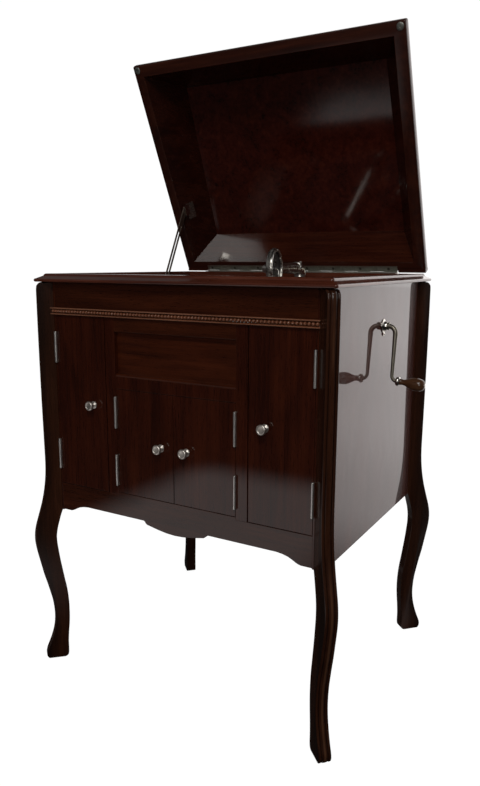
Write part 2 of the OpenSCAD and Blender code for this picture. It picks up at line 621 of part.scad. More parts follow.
module speed_lever() {
  color(nickel) translate([-175, -150, 0]) {
    rod_z(board_z - board_t + 1, board_z + 4, 0, 0, 2.9);
    rod_z(board_z + 0.5, board_z + 8, 0, 0, 10);
    rotate([0, 0, 35]) box(0, 32, -2.5, 2.5, board_z + 3, board_z + 6);
    rotate([0, 0, 35]) rod_z(board_z + 3, board_z + 11, 32, 0, 5);
  }
}

// ---- crank ----
module crank_rod() {
  color(steel) {
    // winding shaft with its pinion, then the rod out through the side
    translate([0, wind_y, wind_z]) rotate([0, 90, 0]) {
      translate([0, 0, -41]) cylinder(r = 5, h = crank_x - 12 + 41);
      translate([0, 0, -40]) gear(16, 5, 0);
    }
    translate([crank_x, wind_y, wind_z]) rotate([-crank_lean, 0, 0]) {
      translate([-12, 0, -12]) rotate([90, 0, 0]) rotate_extrude(angle = 90) translate([12, 0]) circle(r = 4.4);
      translate([0, 0, -crank_throw + 10]) cylinder(r1 = 3.3, r2 = 4.4, h = crank_throw - 22);
      translate([0, 0, -crank_throw + 10]) sphere(r = 3.3);
      translate([10, 0, -crank_throw + 10]) rotate([90, 0, 0]) rotate_extrude(angle = 90) translate([-10, 0]) circle(r = 3.3);
      translate([8, 0, -crank_throw]) rotate([0, 90 + handle_droop, 0]) cylinder(r = 3.2, h = 54);
    }
  }
}
module crank_handle() {
  color([0.5, 0.33, 0.2]) translate([crank_x, wind_y, wind_z]) rotate([-crank_lean, 0, 0]) translate([8, 0, -crank_throw]) rotate([0, 90 + handle_droop, 0])
    difference() {
      rotate_extrude() polygon([[0, 1.2], [7, 1.2], [9, 3], [9, 7.5], [7, 9], [5.8, 11], [5.4, 15], [6, 19], [8, 23.5], [10.5, 29], [12.2, 35], [12.7, 41],
        [12.2, 47], [10.8, 52.5], [8, 56.4], [4, 58], [0, 58]]);
      translate([0, 0, -1]) cylinder(r = 3.3, h = 56);
      translate([0, 0, -1]) cylinder(r = 4.4, h = 5);
    }
}
module crank_escutcheon() {
  color(nickel) translate([hx, wind_y, wind_z]) rotate([0, 90, 0]) difference() {
    union() { cylinder(r = 14, h = 2); cylinder(r = 11, h = 3.4); cylinder(r = 8, h = 8); translate([0, 0, -12]) cylinder(r = 8.9, h = 12); }
    translate([0, 0, -20]) cylinder(r = 5.08, h = 40);
  }
}

// ---- tonearm and soundbox ----
module tonearm_base() {
  color(nickel) translate([arm_x, arm_y, 0]) difference() {
    union() {
      rod_z(board_z, board_z + 4, 0, 0, 31);
      rod_z(board_z - board_t, board_z + 1, 0, 0, 20.4);
      rod_z(board_z + 3, 828, 0, 0, 19);
      rod_z(824, 832, 0, 0, 20.5);
    }
    rod_z(796, 840, 0, 0, 15.06);
    rod_z(770, 800, 0, 0, 13);
  }
}
// arm frame: +X out from the pivot to the needle, +Y towards the soundbox face
module arm_frame() { translate([arm_x, arm_y, arm_z]) rotate([0, 0, arm_ang]) children(); }
neck_p = -22.2;
module arm_tube(r0, r1, rs) {
  a = atan2(neck_p, arm_len);
  l = sqrt(arm_len * arm_len + neck_p * neck_p);
  rotate([0, 0, a]) rotate([0, 90, 0]) cylinder(r1 = r0, r2 = r1, h = l);
  sphere(r = r0 + rs);
  translate([arm_len, neck_p, 0]) sphere(r = r1 + rs);
}
module tonearm() {
  color(nickel) arm_frame() difference() {
    union() {
      arm_tube(13, 9.4, 0.3);
      translate([0, 0, -64]) cylinder(r = 15, h = 58);
      translate([0, 0, -28.7]) cylinder(r = 18, h = 4);
      translate([arm_len, neck_p, 0]) rotate([-90, 0, 0]) cylinder(r = 8, h = -neck_p - 10);
      translate([arm_len, neck_p, 0]) rotate([-90, 0, 0]) cylinder(r = 6.34, h = -neck_p - 4.5);
    }
    arm_tube(11, 7.4, -1);
    translate([0, 0, -65]) cylinder(r = 12.6, h = 62);
    translate([arm_len, neck_p, 0]) rotate([-90, 0, 0]) cylinder(r = 5, h = 20);
  }
}
module box_frame() { arm_frame() translate([arm_len, 0, 0]) rotate([-90, 0, 0]) children(); }
module soundbox() {
  color(nickel) box_frame() difference() {
    union() {
      translate([0, 0, -7]) cylinder(r = box_r, h = 14);
      translate([0, 0, -9.7]) cylinder(r = 16, h = 3);
    }
    translate([0, 0, 1]) cylinder(r = box_r - 6.5, h = 8);
    translate([0, 0, -3]) cylinder(r = box_r - 11, h = 5);
    translate([0, 0, -12]) cylinder(r = 6.4, h = 12);
    translate([-2.5, 30, 1]) cube([5, 12, 8]);
  }
}
module soundbox_diaphragm() {
  color([0.1, 0.1, 0.1]) box_frame() translate([0, 0, 1]) cylinder(r = box_r - 6.6, h = 0.8);
}
module needle_bar() {
  // stylus bar across the face, needle clamp, screw and needle
  color(nickel) arm_frame() translate([arm_len, 0, 0]) {
    translate([-1.5, 7.2, -box_r + 2]) cube([3, 3, box_r - 2]);
    translate([0, 1.9, -2]) rotate([-90, 0, 0]) cylinder(r = 2.2, h = 6);
    translate([-4, 7.2, -box_r - 1]) cube([8, 6, 9]);
    translate([3.5, 10.2, -box_r + 3]) rotate([0, 90, 0]) cylinder(r = 3, h = 8);
    translate([0, 10.2, arm_zt]) cylinder(r1 = 0.3, r2 = 0.9, h = 8);
  }
}
arm_zt = 813.6 - arm_z;

placed() side_panel_left();
placed() side_panel_right();
placed() back_panel();
placed() bottom_board();
placed() frieze_board();
placed() apron_rail();
placed() face_frame();
placed() recess_panel();
placed() bead_strip();
placed() corner_posts();
placed() legs();
placed() partitions();
placed() motor_board();
placed() top_lower_board();
placed() top_upper_board();
placed() tone_chamber();
placed() horn_elbow();
placed() door_hinge_fixed_leaves();
placed() hinge_pins();
placed() lid_hinge_fixed_leaf();
placed() stay_stud();
placed() crank_escutcheon();
placed() motor_top_plate();
placed() motor_frame();
placed() tonearm_base();
placed() tall_door_left();
placed() tall_knob_left();
placed() tall_leaves_left();
placed() tall_door_right();
placed() tall_knob_right();
placed() tall_leaves_right();
placed() centre_door_left();
placed() centre_knob_left();
placed() centre_leaves_left();
placed() centre_door_right();
placed() centre_knob_right();
placed() centre_leaves_right();
placed() lid_rim();
placed() lid_walls();
placed() lid_crown();
placed() lid_hinge_moving_leaf();
placed() lid_buffers();
placed() stay_bracket();
placed() stay_bar();
placed() turntable_platter();
placed() turntable_mat();
placed() turntable_spindle();
placed() spring_barrel();
placed() mainspring();
placed() winding_arbor();
placed() idler_gear();
placed() governor();
placed() crank_rod();
placed() crank_handle();
placed() tonearm();
placed() soundbox();
placed() soundbox_diaphragm();
placed() needle_bar();
placed() brake_lever();
placed() speed_lever();
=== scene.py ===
# Console gramophone cabinet: detailed pieces, finishes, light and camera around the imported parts.
# Lengths in the helpers are millimetres measured from the middle of the case; P() turns them
# into the row frame in metres.
import math

import bpy
from mathutils import Matrix, Vector


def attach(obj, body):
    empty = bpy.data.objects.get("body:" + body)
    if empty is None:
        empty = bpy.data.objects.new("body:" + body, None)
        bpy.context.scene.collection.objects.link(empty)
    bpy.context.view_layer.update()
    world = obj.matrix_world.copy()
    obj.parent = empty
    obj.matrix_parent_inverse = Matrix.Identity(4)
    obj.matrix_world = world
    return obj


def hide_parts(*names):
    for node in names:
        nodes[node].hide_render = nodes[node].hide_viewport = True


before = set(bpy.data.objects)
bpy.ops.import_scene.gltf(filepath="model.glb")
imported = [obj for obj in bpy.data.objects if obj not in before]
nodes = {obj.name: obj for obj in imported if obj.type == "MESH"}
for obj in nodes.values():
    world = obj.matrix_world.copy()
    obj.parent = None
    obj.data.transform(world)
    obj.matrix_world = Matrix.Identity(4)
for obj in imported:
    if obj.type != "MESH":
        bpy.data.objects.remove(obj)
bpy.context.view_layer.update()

OX, OY = 23.82111, 14.46236
HX, HY = 312.9, 254.5
LID_A = math.radians(64.5)
HIN_Y, HIN_Z = 269.9, 851.0


def P(x, y, z):
    return ((x - OX) / 1000, (y - OY) / 1000, z / 1000)


def lid(x, u, n):
    """A point of the lid: u out from the hinge, n up from the rim's underside."""
    return (x, HIN_Y - u * math.cos(LID_A) + n * math.sin(LID_A), HIN_Z + u * math.sin(LID_A) + n * math.cos(LID_A))


# ------------------------------------------------------------------ node helpers
def new_material(name):
    m = bpy.data.materials.new(name)
    m.use_nodes = True
    t = m.node_tree
    t.nodes.clear()
    out = t.nodes.new("ShaderNodeOutputMaterial")
    b = t.nodes.new("ShaderNodeBsdfPrincipled")
    t.links.new(b.outputs[0], out.inputs["Surface"])
    return m, t, b


def put(t, sock, v):
    if isinstance(v, bpy.types.NodeSocket):
        t.links.new(v, sock)
    else:
        sock.default_value = v


def node(t, kind, props=None, **ins):
    n = t.nodes.new(kind)
    for k, v in (props or {}).items():
        setattr(n, k, v)
    for k, v in ins.items():
        put(t, n.inputs[k.replace("_", " ")], v)
    return n


def calc(t, op, a, b=0.0, clamp=False):
    n = t.nodes.new("ShaderNodeMath")
    n.operation = op
    n.use_clamp = clamp
    put(t, n.inputs[0], a)
    put(t, n.inputs[1], b)
    return n.outputs[0]


def blend(t, fac, a, b, how="MIX"):
    n = t.nodes.new("ShaderNodeMix")
    n.data_type = "RGBA"
    n.blend_type = how
    put(t, n.inputs[0], fac)
    put(t, n.inputs[6], a)
    put(t, n.inputs[7], b)
    return n.outputs[2]


def ramp(t, fac, stops):
    n = t.nodes.new("ShaderNodeValToRGB")
    e = n.color_ramp.elements
    while len(e) < len(stops):
        e.new(0.5)
    for el, (p, c) in zip(e, stops):
        el.position = p
        el.color = c if len(c) == 4 else (*c, 1)
    put(t, n.inputs[0], fac)
    return n.outputs[0]


def level(t, v, lo, hi, to_lo=0.0, to_hi=1.0):
    n = t.nodes.new("ShaderNodeMapRange")
    n.clamp = True
    n.interpolation_type = "SMOOTHSTEP"
    put(t, n.inputs["Value"], v)
    for k, x in (("From Min", lo), ("From Max", hi), ("To Min", to_lo), ("To Max", to_hi)):
        put(t, n.inputs[k], x)
    return n.outputs[0]


def grain_coords(t, axis, squeeze, offset=(0, 0, 0), turn=(0, 0, 0)):
    tc = t.nodes.new("ShaderNodeTexCoord")
    mp = t.nodes.new("ShaderNodeMapping")
    s = [1.0, 1.0, 1.0]
    s["xyz".index(axis)] = squeeze
    mp.inputs["Scale"].default_value = s
    mp.inputs["Location"].default_value = offset
    mp.inputs["Rotation"].default_value = turn
    t.links.new(tc.outputs["Object"], mp.inputs["Vector"])
    return mp.outputs[0]


def noise(t, vec, scale, detail=3.0, rough=0.5, distortion=0.0):
    n = node(t, "ShaderNodeTexNoise", Scale=scale, Detail=detail, Roughness=rough, Distortion=distortion)
    t.links.new(vec, n.inputs["Vector"])
    return n.outputs["Fac"]


def edge_mask(t, radius, gain=6.0):
    """1 along corners and edges, 0 on flat faces: how far the rounded normal leans from the face's own."""
    bv = node(t, "ShaderNodeBevel", {"samples": 4}, Radius=radius)
    geo = t.nodes.new("ShaderNodeNewGeometry")
    d = t.nodes.new("ShaderNodeVectorMath")
    d.operation = "DOT_PRODUCT"
    t.links.new(bv.outputs[0], d.inputs[0])
    t.links.new(geo.outputs["Normal"], d.inputs[1])
    return calc(t, "MULTIPLY", calc(t, "SUBTRACT", 1.0, d.outputs["Value"]), gain, True)


# ------------------------------------------------------------------ finishes
def wood(name, axis, dark, mid, light, coat=1.0, coat_rough=0.035, rough=0.5, wear=0.6, wear_col=(0.12, 0.035, 0.014),
         figure=1.0, offset=(0, 0, 0), turn=(0, 0, 0), crest=None, spec=0.03, bevel=0.0009, ripple_by=1.0):
    m, t, b = new_material(name)
    broad = grain_coords(t, axis, 0.16, offset, turn)
    fine = grain_coords(t, axis, 0.035, offset, turn)
    pore = grain_coords(t, axis, 0.05, offset, turn)
    bands = noise(t, broad, 26, 3, 0.5, 0.9)
    streak = noise(t, fine, 120, 5, 0.62, 0.3)
    thread = noise(t, fine, 520, 3, 0.6)
    pores = noise(t, pore, 1300, 2, 0.5)
    f = calc(t, "ADD", calc(t, "MULTIPLY", bands, 0.55 * figure), calc(t, "MULTIPLY", streak, 0.55 * figure))
    f = calc(t, "ADD", f, 0.5 - 0.55 * figure)
    col = ramp(t, f, [(0.28, dark), (0.5, mid), (0.72, light)])
    col = blend(t, level(t, thread, 0.52, 0.75, 0.0, 0.45), col, (dark[0] * 0.5, dark[1] * 0.45, dark[2] * 0.45, 1))
    pore_mask = level(t, pores, 0.6, 0.72, 0.0, 0.75)
    col = blend(t, pore_mask, col, (dark[0] * 0.3, dark[1] * 0.3, dark[2] * 0.3, 1))
    patch = noise(t, grain_coords(t, axis, 0.6, (3.1, 1.7, 0.4)), 5.5, 4, 0.6)
    if wear:
        em = edge_mask(t, 0.0016)
        worn = calc(t, "MULTIPLY", em, level(t, noise(t, grain_coords(t, axis, 1.0), 46, 5, 0.7), 0.38, 0.66, 0.0, wear), True)
        col = blend(t, worn, col, (*wear_col, 1))
    # crest attribute: near-black blended in where it is low, painted shade in the reeds' grooves, behind the beads and
    # round their bases; crests lightened in random patches as wear
    if crest:
        a = node(t, "ShaderNodeAttribute", {"attribute_name": crest})
        low = level(t, a.outputs["Fac"], 0.0, 0.55, 0.75, 0.0)
        col = blend(t, low, col, (0.006, 0.003, 0.002, 1))
        high = level(t, a.outputs["Fac"], 0.86, 1.0, 0.0, 0.6)
        col = blend(t, calc(t, "MULTIPLY", high, level(t, patch, 0.35, 0.6)), col, (*wear_col, 1))
    put(t, b.inputs["Base Color"], col)
    scuff = noise(t, grain_coords(t, axis, 0.35, (0.2, 0.9, 2.2)), 38, 6, 0.68, 0.6)
    put(t, b.inputs["Roughness"], level(t, scuff, 0.35, 0.75, rough - 0.08, rough + 0.16))
    b.inputs["Specular IOR Level"].default_value = spec
    b.inputs["Coat Weight"].default_value = coat
    b.inputs["Coat Roughness"].default_value = coat_rough
    b.inputs["Coat IOR"].default_value = 1.52
    # grain relief under the polish, and a slow ripple in the polish itself
    relief = calc(t, "ADD", calc(t, "MULTIPLY", streak, 0.35), calc(t, "MULTIPLY", pore_mask, -0.5))
    bevel_n = node(t, "ShaderNodeBevel", {"samples": 4}, Radius=bevel)
    bump = node(t, "ShaderNodeBump", Strength=0.12, Distance=0.0006, Height=relief)
    t.links.new(bevel_n.outputs[0], bump.inputs["Normal"])
    put(t, b.inputs["Normal"], bump.outputs[0])
    ripple = noise(t, grain_coords(t, axis, 0.5, (1.3, 0.2, 0.7)), 11, 2, 0.5)
    rip2 = noise(t, grain_coords(t, axis, 0.2, (0.3, 0.5, 0.1)), 150, 2, 0.5)
    cb = node(t, "ShaderNodeBump", Strength=0.05 * ripple_by, Distance=0.004, Height=calc(t, "ADD", ripple, calc(t, "MULTIPLY", rip2, 0.02)))
    t.links.new(bevel_n.outputs[0], cb.inputs["Normal"])
    put(t, b.inputs["Coat Normal"], cb.outputs[0])
    return m


def metal(name, base, tarnish, r0, r1, amount=0.5, scale=60, brush=None, wear=0.0, bump=0.05):
    m, t, b = new_material(name)
    b.inputs["Metallic"].default_value = 1.0
    tc = grain_coords(t, "x", 1.0, (0.11, 0.37, 0.73))
    blot = noise(t, tc, scale, 5, 0.65, 0.4)
    speck = noise(t, tc, scale * 9, 3, 0.6)
    k = calc(t, "MULTIPLY", level(t, blot, 0.42, 0.72), amount)
    k = calc(t, "ADD", k, level(t, speck, 0.62, 0.78, 0.0, 0.35 * amount), True)
    col = blend(t, k, (*base, 1), (*tarnish, 1))
    if wear:
        col = blend(t, calc(t, "MULTIPLY", edge_mask(t, 0.0007), wear), col, (min(base[0] * 1.25, 1), min(base[1] * 1.22, 1), min(base[2] * 1.18, 1), 1))
    put(t, b.inputs["Base Color"], col)
    put(t, b.inputs["Roughness"], calc(t, "ADD", level(t, blot, 0.3, 0.75, r0, r1), calc(t, "MULTIPLY", speck, 0.04)))
    h = speck
    if brush:
        v = grain_coords(t, brush, 0.02, (0.4, 0.1, 0.9))
        h = calc(t, "ADD", speck, noise(t, v, 900, 2, 0.5))
    bv = node(t, "ShaderNodeBevel", {"samples": 4}, Radius=0.00035)
    bp = node(t, "ShaderNodeBump", Strength=bump, Distance=0.0003, Height=h)
    t.links.new(bv.outputs[0], bp.inputs["Normal"])
    put(t, b.inputs["Normal"], bp.outputs[0])
    return m


def felt(name, col, dark):
    m, t, b = new_material(name)
    tc = grain_coords(t, "x", 1.0)
    nap = noise(t, tc, 900, 4, 0.7)
    bare = noise(t, tc, 24, 4, 0.6)
    c = blend(t, level(t, nap, 0.3, 0.75), (*dark, 1), (*col, 1))
    c = blend(t, level(t, bare, 0.55, 0.8, 0.0, 0.4), c, (col[0] * 1.5, col[1] * 1.4, col[2] * 1.3, 1))
    put(t, b.inputs["Base Color"], c)
    b.inputs["Roughness"].default_value = 0.95
    b.inputs["Sheen Weight"].default_value = 0.5
    b.inputs["Sheen Roughness"].default_value = 0.5
    b.inputs["Specular IOR Level"].default_value = 0.2
    bp = node(t, "ShaderNodeBump", Strength=0.5, Distance=0.0006, Height=nap)
    put(t, b.inputs["Normal"], bp.outputs[0])
    return m


DK, MD, LT = (0.026, 0.0046, 0.0020), (0.058, 0.0095, 0.0040), (0.098, 0.0185, 0.0075)
WOOD_V = wood("mahogany_upright", "z", (0.019, 0.0036, 0.0015), (0.041, 0.0075, 0.0028), (0.072, 0.0145, 0.0052))
WOOD_RECESS = wood("mahogany_recess", "x", (0.028, 0.0058, 0.0021), (0.060, 0.0125, 0.0042), (0.098, 0.022, 0.0075), offset=(0.7, 0.2, 0.4))
WOOD_SIDE = wood("mahogany_side", "z", DK, MD, LT, coat_rough=0.018, ripple_by=0.22, offset=(0.6, 0.1, 0.3))
WOOD_H = wood("mahogany_across", "x", (0.022, 0.0048, 0.0017), (0.045, 0.0098, 0.0033), (0.074, 0.0175, 0.0062), offset=(0.7, 0.2, 0.4))
WOOD_Y = wood("mahogany_depth", "y", (0.024, 0.0050, 0.0021), (0.050, 0.0100, 0.0042), (0.082, 0.020, 0.008), offset=(0.3, 0.9, 0.1))
WOOD_TOP_X = wood("mahogany_top_across", "x", (0.044, 0.0100, 0.0052), (0.105, 0.0250, 0.0130), (0.18, 0.050, 0.027), offset=(0.1, 0.6, 0.9), wear=0.75, coat_rough=0.12)
WOOD_TOP_Y = wood("mahogany_top_depth", "y", (0.044, 0.0100, 0.0052), (0.105, 0.0250, 0.0130), (0.18, 0.050, 0.027), offset=(0.5, 0.6, 0.9), wear=0.75, coat_rough=0.12)
WOOD_LEG = wood("mahogany_legs", "z", (0.018, 0.0058, 0.0026), (0.040, 0.0125, 0.0055), (0.072, 0.024, 0.011), crest="crest", coat=0.7, coat_rough=0.15, wear=0.4, wear_col=(0.16, 0.07, 0.035), offset=(0.4, 0.4, 0.2))
LID_TURN = (-LID_A, 0, 0)
RIM_X = wood("mahogany_rim_across", "x", (0.018, 0.0036, 0.0018), (0.042, 0.0085, 0.0038), (0.075, 0.018, 0.008), turn=LID_TURN, coat_rough=0.3, offset=(0.2, 0.3, 0.8))
RIM_Y = wood("mahogany_rim_length", "y", (0.018, 0.0036, 0.0018), (0.042, 0.0085, 0.0038), (0.075, 0.018, 0.008), turn=LID_TURN, coat_rough=0.3, offset=(0.8, 0.3, 0.2))
WOOD_CROWN = wood("mahogany_crown", "y", (0.022, 0.0038, 0.0020), (0.050, 0.0080, 0.0045), (0.085, 0.016, 0.008), turn=LID_TURN, coat_rough=0.10, figure=1.15)
WOOD_LIDX = wood("mahogany_lid_across", "x", (0.018, 0.0036, 0.0018), (0.042, 0.0085, 0.0038), (0.075, 0.018, 0.008), turn=LID_TURN, coat_rough=0.12, offset=(0.2, 0.3, 0.8))
# darker copy of the lid mahogany for the lengthwise walls: painted shade on the lid's side walls
WOOD_LIDY_SHADED = wood("mahogany_lid_length_painted_shade", "y", (0.011, 0.0022, 0.0012), (0.026, 0.0050, 0.0024), (0.046, 0.0105, 0.0050), turn=LID_TURN, coat_rough=0.12, offset=(0.8, 0.3, 0.2))
WOOD_BEAD = wood("beaded_strip", "x", (0.11, 0.034, 0.015), (0.20, 0.068, 0.032), (0.30, 0.115, 0.060), coat=0.7, coat_rough=0.12, wear=0.5, wear_col=(0.36, 0.17, 0.10), crest="crest", offset=(0.9, 0.1, 0.1), bevel=0.0004)
INNER_V = wood("inner_upright", "z", (0.10, 0.045, 0.020), (0.20, 0.100, 0.048), (0.30, 0.17, 0.088), coat=0.15, coat_rough=0.35, rough=0.55, wear=0.3, wear_col=(0.34, 0.21, 0.12), spec=0.25)
INNER_Y = wood("inner_depth", "y", (0.10, 0.045, 0.020), (0.20, 0.100, 0.048), (0.30, 0.17, 0.088), coat=0.15, coat_rough=0.35, rough=0.55, wear=0.3, wear_col=(0.34, 0.21, 0.12), offset=(0.2, 0.6, 0.3), spec=0.25)
HANDLE_WOOD = wood("handle_wood", "x", (0.055, 0.022, 0.010), (0.115, 0.052, 0.025), (0.19, 0.095, 0.050), coat=0.6, coat_rough=0.16, rough=0.4, wear=0.0, offset=(0.1, 0.1, 0.6), bevel=0.0003)
NICKEL = metal("nickel_plate", (0.74, 0.71, 0.66), (0.42, 0.37, 0.30), 0.10, 0.24, 0.45, 55, wear=0.4)
NICKEL_SATIN = metal("nickel_satin", (0.82, 0.77, 0.71), (0.55, 0.49, 0.42), 0.33, 0.42, 0.4, 55, wear=0.3)
NICKEL_PIN = metal("nickel_butts", (0.93, 0.91, 0.88), (0.72, 0.68, 0.62), 0.30, 0.40, 0.3, 60, wear=0.3)
CRANK_STEEL = metal("crank_steel", (0.24, 0.22, 0.18), (0.12, 0.105, 0.085), 0.36, 0.48, 0.5, 50, wear=0.6)
NICKEL_WORN = metal("nickel_worn", (0.70, 0.68, 0.64), (0.30, 0.27, 0.22), 0.14, 0.34, 0.8, 42, wear=0.5, bump=0.09)
NICKEL_ARM = metal("nickel_arm", (0.72, 0.70, 0.66), (0.40, 0.36, 0.30), 0.22, 0.34, 0.5, 50, wear=0.4)
STAY_METAL = metal("stay_bronze", (0.34, 0.27, 0.22), (0.17, 0.12, 0.09), 0.34, 0.5, 0.6, 50, wear=0.4)
NICKEL_LEAF = metal("hinge_metal", (0.50, 0.50, 0.45), (0.24, 0.23, 0.19), 0.26, 0.46, 0.7, 45, brush="x", wear=0.5)
STEEL = metal("dark_steel", (0.26, 0.25, 0.24), (0.11, 0.095, 0.08), 0.12, 0.28, 0.6, 50, wear=0.5)
BRASS = metal("brass", (0.62, 0.43, 0.16), (0.26, 0.16, 0.06), 0.22, 0.42, 0.6, 60, wear=0.4)
IRON = metal("cast_iron", (0.055, 0.058, 0.062), (0.028, 0.026, 0.024), 0.42, 0.62, 0.5, 120, bump=0.35)
IRON.node_tree.nodes["Principled BSDF"].inputs["Metallic"].default_value = 0.25
SCREW = metal("screw_steel", (0.20, 0.19, 0.17), (0.09, 0.075, 0.06), 0.3, 0.5, 0.6, 80)
GREY_BUFFER = metal("buffer_zinc", (0.34, 0.36, 0.33), (0.20, 0.20, 0.17), 0.38, 0.6, 0.6, 70)
MAT_FELT = felt("platter_felt", (0.085, 0.020, 0.018), (0.035, 0.008, 0.008))
PAD_FELT = felt("pad_felt", (0.10, 0.09, 0.075), (0.05, 0.045, 0.04))

MICA, _t, _b = new_material("diaphragm_dark")
_v = grain_coords(_t, "x", 1.0)
_n = noise(_t, _v, 90, 4, 0.6)
put(_t, _b.inputs["Base Color"], ramp(_t, _n, [(0.3, (0.006, 0.005, 0.006)), (0.75, (0.022, 0.017, 0.018))]))
put(_t, _b.inputs["Roughness"], level(_t, _n, 0.3, 0.7, 0.24, 0.42))
put(_t, _b.inputs["Normal"], node(_t, "ShaderNodeBump", Strength=0.15, Distance=0.0004, Height=_n).outputs[0])

RUBBER, _t, _b = new_material("gasket")
_n = noise(_t, grain_coords(_t, "x", 1.0), 300, 3, 0.6)
put(_t, _b.inputs["Base Color"], ramp(_t, _n, [(0.3, (0.012, 0.010, 0.009)), (0.8, (0.035, 0.028, 0.024))]))
_b.inputs["Roughness"].default_value = 0.7


# ------------------------------------------------------------------ mesh helpers
def piece(name, verts, faces, mats, body, slot_name, face_mats=None, sharp=32, replaces=(), attr=None, smooth=True):
    """verts are in millimetres from the middle of the case."""
    me = bpy.data.meshes.new(name)
    me.from_pydata([P(*v) for v in verts], [], faces)
    me.validate(clean_customdata=False)
    for m in mats if isinstance(mats, (list, tuple)) else [mats]:
        me.materials.append(m)
    if face_mats:
        for p, k in zip(me.polygons, face_mats):
            p.material_index = k
    if attr:
        for k, vals in attr.items():
            a = me.attributes.new(k, "FLOAT", "POINT")
            a.data.foreach_set("value", vals)
    if smooth:
        me.shade_smooth()
        me.set_sharp_from_angle(angle=math.radians(sharp))
    me.update()
    o = bpy.data.objects.new(name, me)
    bpy.context.scene.collection.objects.link(o)
    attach(o, body)
    if replaces:
        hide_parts(*replaces)
    return o


class Build:
    """Collects faces of one piece."""

    def __init__(self):
        self.v, self.f, self.m, self.a = [], [], [], []

    def add(self, verts, faces, mat=0, attr=None, fm=None):
        k = len(self.v)
        self.v += list(verts)
        self.a += list(attr) if attr is not None else [1.0] * len(verts)
        self.f += [tuple(i + k for i in f) for f in faces]
        self.m += fm if fm is not None else [mat] * len(faces)

    def make(self, name, mats, body, slot_name, **kw):
        return piece(name, self.v, self.f, mats, body, slot_name, face_mats=self.m, attr={"crest": self.a}, **kw)


def grid_faces(rows, cols, close_r=False, close_c=False, flip=False):
    out = []
    for i in range(rows if close_r else rows - 1):
        for j in range(cols if close_c else cols - 1):
            a, b = i * cols + j, i * cols + (j + 1) % cols
            c, d = ((i + 1) % rows) * cols + (j + 1) % cols, ((i + 1) % rows) * cols + j
            out.append((a, d, c, b) if flip else (a, b, c, d))
    return out


def round_rect(x0, x1, y0, y1, r, k=4, near=1.2):
    """Corners of k facets, each with a point on either side of it that keeps the long sides' shading flat."""
    pts, side = [], []
    r = max(r, 0.02)
    for q, (cx, cy, a0) in enumerate([(x1 - r, y0 + r, -90), (x1 - r, y1 - r, 0), (x0 + r, y1 - r, 90), (x0 + r, y0 + r, 180)]):
        for i in range(-1, k + 2):
            a = math.radians(a0 + 90 * min(max(i, 0), k) / k)
            ex = near if i < 0 else 0.0
            ey = near if i > k else 0.0
            # the side before the corner runs along (-sin, cos) of its first angle, the one after along that of its last
            b0, b1 = math.radians(a0), math.radians(a0 + 90)
            pts.append((cx + r * math.cos(a) + ex * math.sin(b0) - ey * math.sin(b1),
                        cy + r * math.sin(a) - ex * math.cos(b0) + ey * math.cos(b1)))
            side.append(1 if (i < k / 2) == (q % 2 == 1) else 0)
    return pts, side


def ring_loft(levels, place=lambda x, y, z: (x, y, z), k=4):
    """A mitred frame through levels (x0, x1, y0, y1, z, r), closed on itself. Returns verts, faces, side of each face."""
    v, loops = [], []
    for x0, x1, y0, y1, z, r in levels:
        pts, side = round_rect(x0, x1, y0, y1, r, k)
        v += [place(x, y, z) for x, y in pts]
        loops.append(len(pts))
    n = loops[0]
    f = grid_faces(len(levels), n, True, True)
    # sides: rails along x get 0, rails along y get 1
    fm = []
    half = k // 2
    for i in range(len(levels)):
        for j in range(n):
            q, s = divmod(j, k + 3)
            # corner q runs from side q to side q+1; sides 0 and 2 run along x
            along = (q % 2) if s < half + 1 else ((q + 1) % 2)
            fm.append(along)
    return v, f, fm


def lathe(profile, seg=48, place=None, close=False):
    """profile [(r, h)], turned about the local z axis."""
    v = []
    for r, h in profile:
        for i in range(seg):
            a = 2 * math.pi * i / seg
            v.append(place(max(r, 0.01) * math.cos(a), max(r, 0.01) * math.sin(a), h))
    f = grid_faces(len(profile), seg, close, True)
    if not close:
        for row, fl in ((0, True), (len(profile) - 1, False)):
            base = row * seg
            loop = tuple(range(base, base + seg))
            f.append(tuple(reversed(loop)) if fl else loop)
    return v, f


def spline(pts, k):
    """Catmull-Rom through points of any size, k steps in each interval."""
    out = []
    n = len(pts)
    for i in range(n - 1):
        a, b, c, d = pts[max(i - 1, 0)], pts[i], pts[i + 1], pts[min(i + 2, n - 1)]
        for j in range(k):
            t = j / k
            out.append(tuple(0.5 * (2 * b[m] + (c[m] - a[m]) * t + (2 * a[m] - 5 * b[m] + 4 * c[m] - d[m]) * t * t
                                    + (3 * b[m] - a[m] - 3 * c[m] + d[m]) * t ** 3) for m in range(len(b))))
    out.append(tuple(pts[-1]))
    return out


def fillet_path(pts, radii, step=7.0, arc=12):
    """A polyline with its corners rounded, as a list of points."""
    pts = [Vector(p) for p in pts]
    out = [pts[0]]
    for i in range(1, len(pts) - 1):
        a, b, c = pts[i - 1], pts[i], pts[i + 1]
        u, w = (a - b).normalized(), (c - b).normalized()
        ang = u.angle(w)
        tl = radii[i - 1] / math.tan(ang / 2)
        s, e = b + u * tl, b + w * tl
        centre = b + (u + w).normalized() * (radii[i - 1] / math.sin(ang / 2))
        run = (s - out[-1]).length
        m = max(1, int(run / step))
        for q in range(1, m):
            out.append(out[-1].lerp(s, 1 / (m - q + 1)))
        v0, v1 = s - centre, e - centre
        tot = v0.angle(v1)
        for q in range(arc + 1):
            f = q / arc
            out.append(centre + (v0 * math.sin((1 - f) * tot) + v1 * math.sin(f * tot)) / math.sin(tot))
    last = pts[-1]
    m = max(1, int((last - out[-1]).length / step))
    for q in range(1, m + 1):
        out.append(out[-1].lerp(last, 1 / (m - q + 1)))
    return out


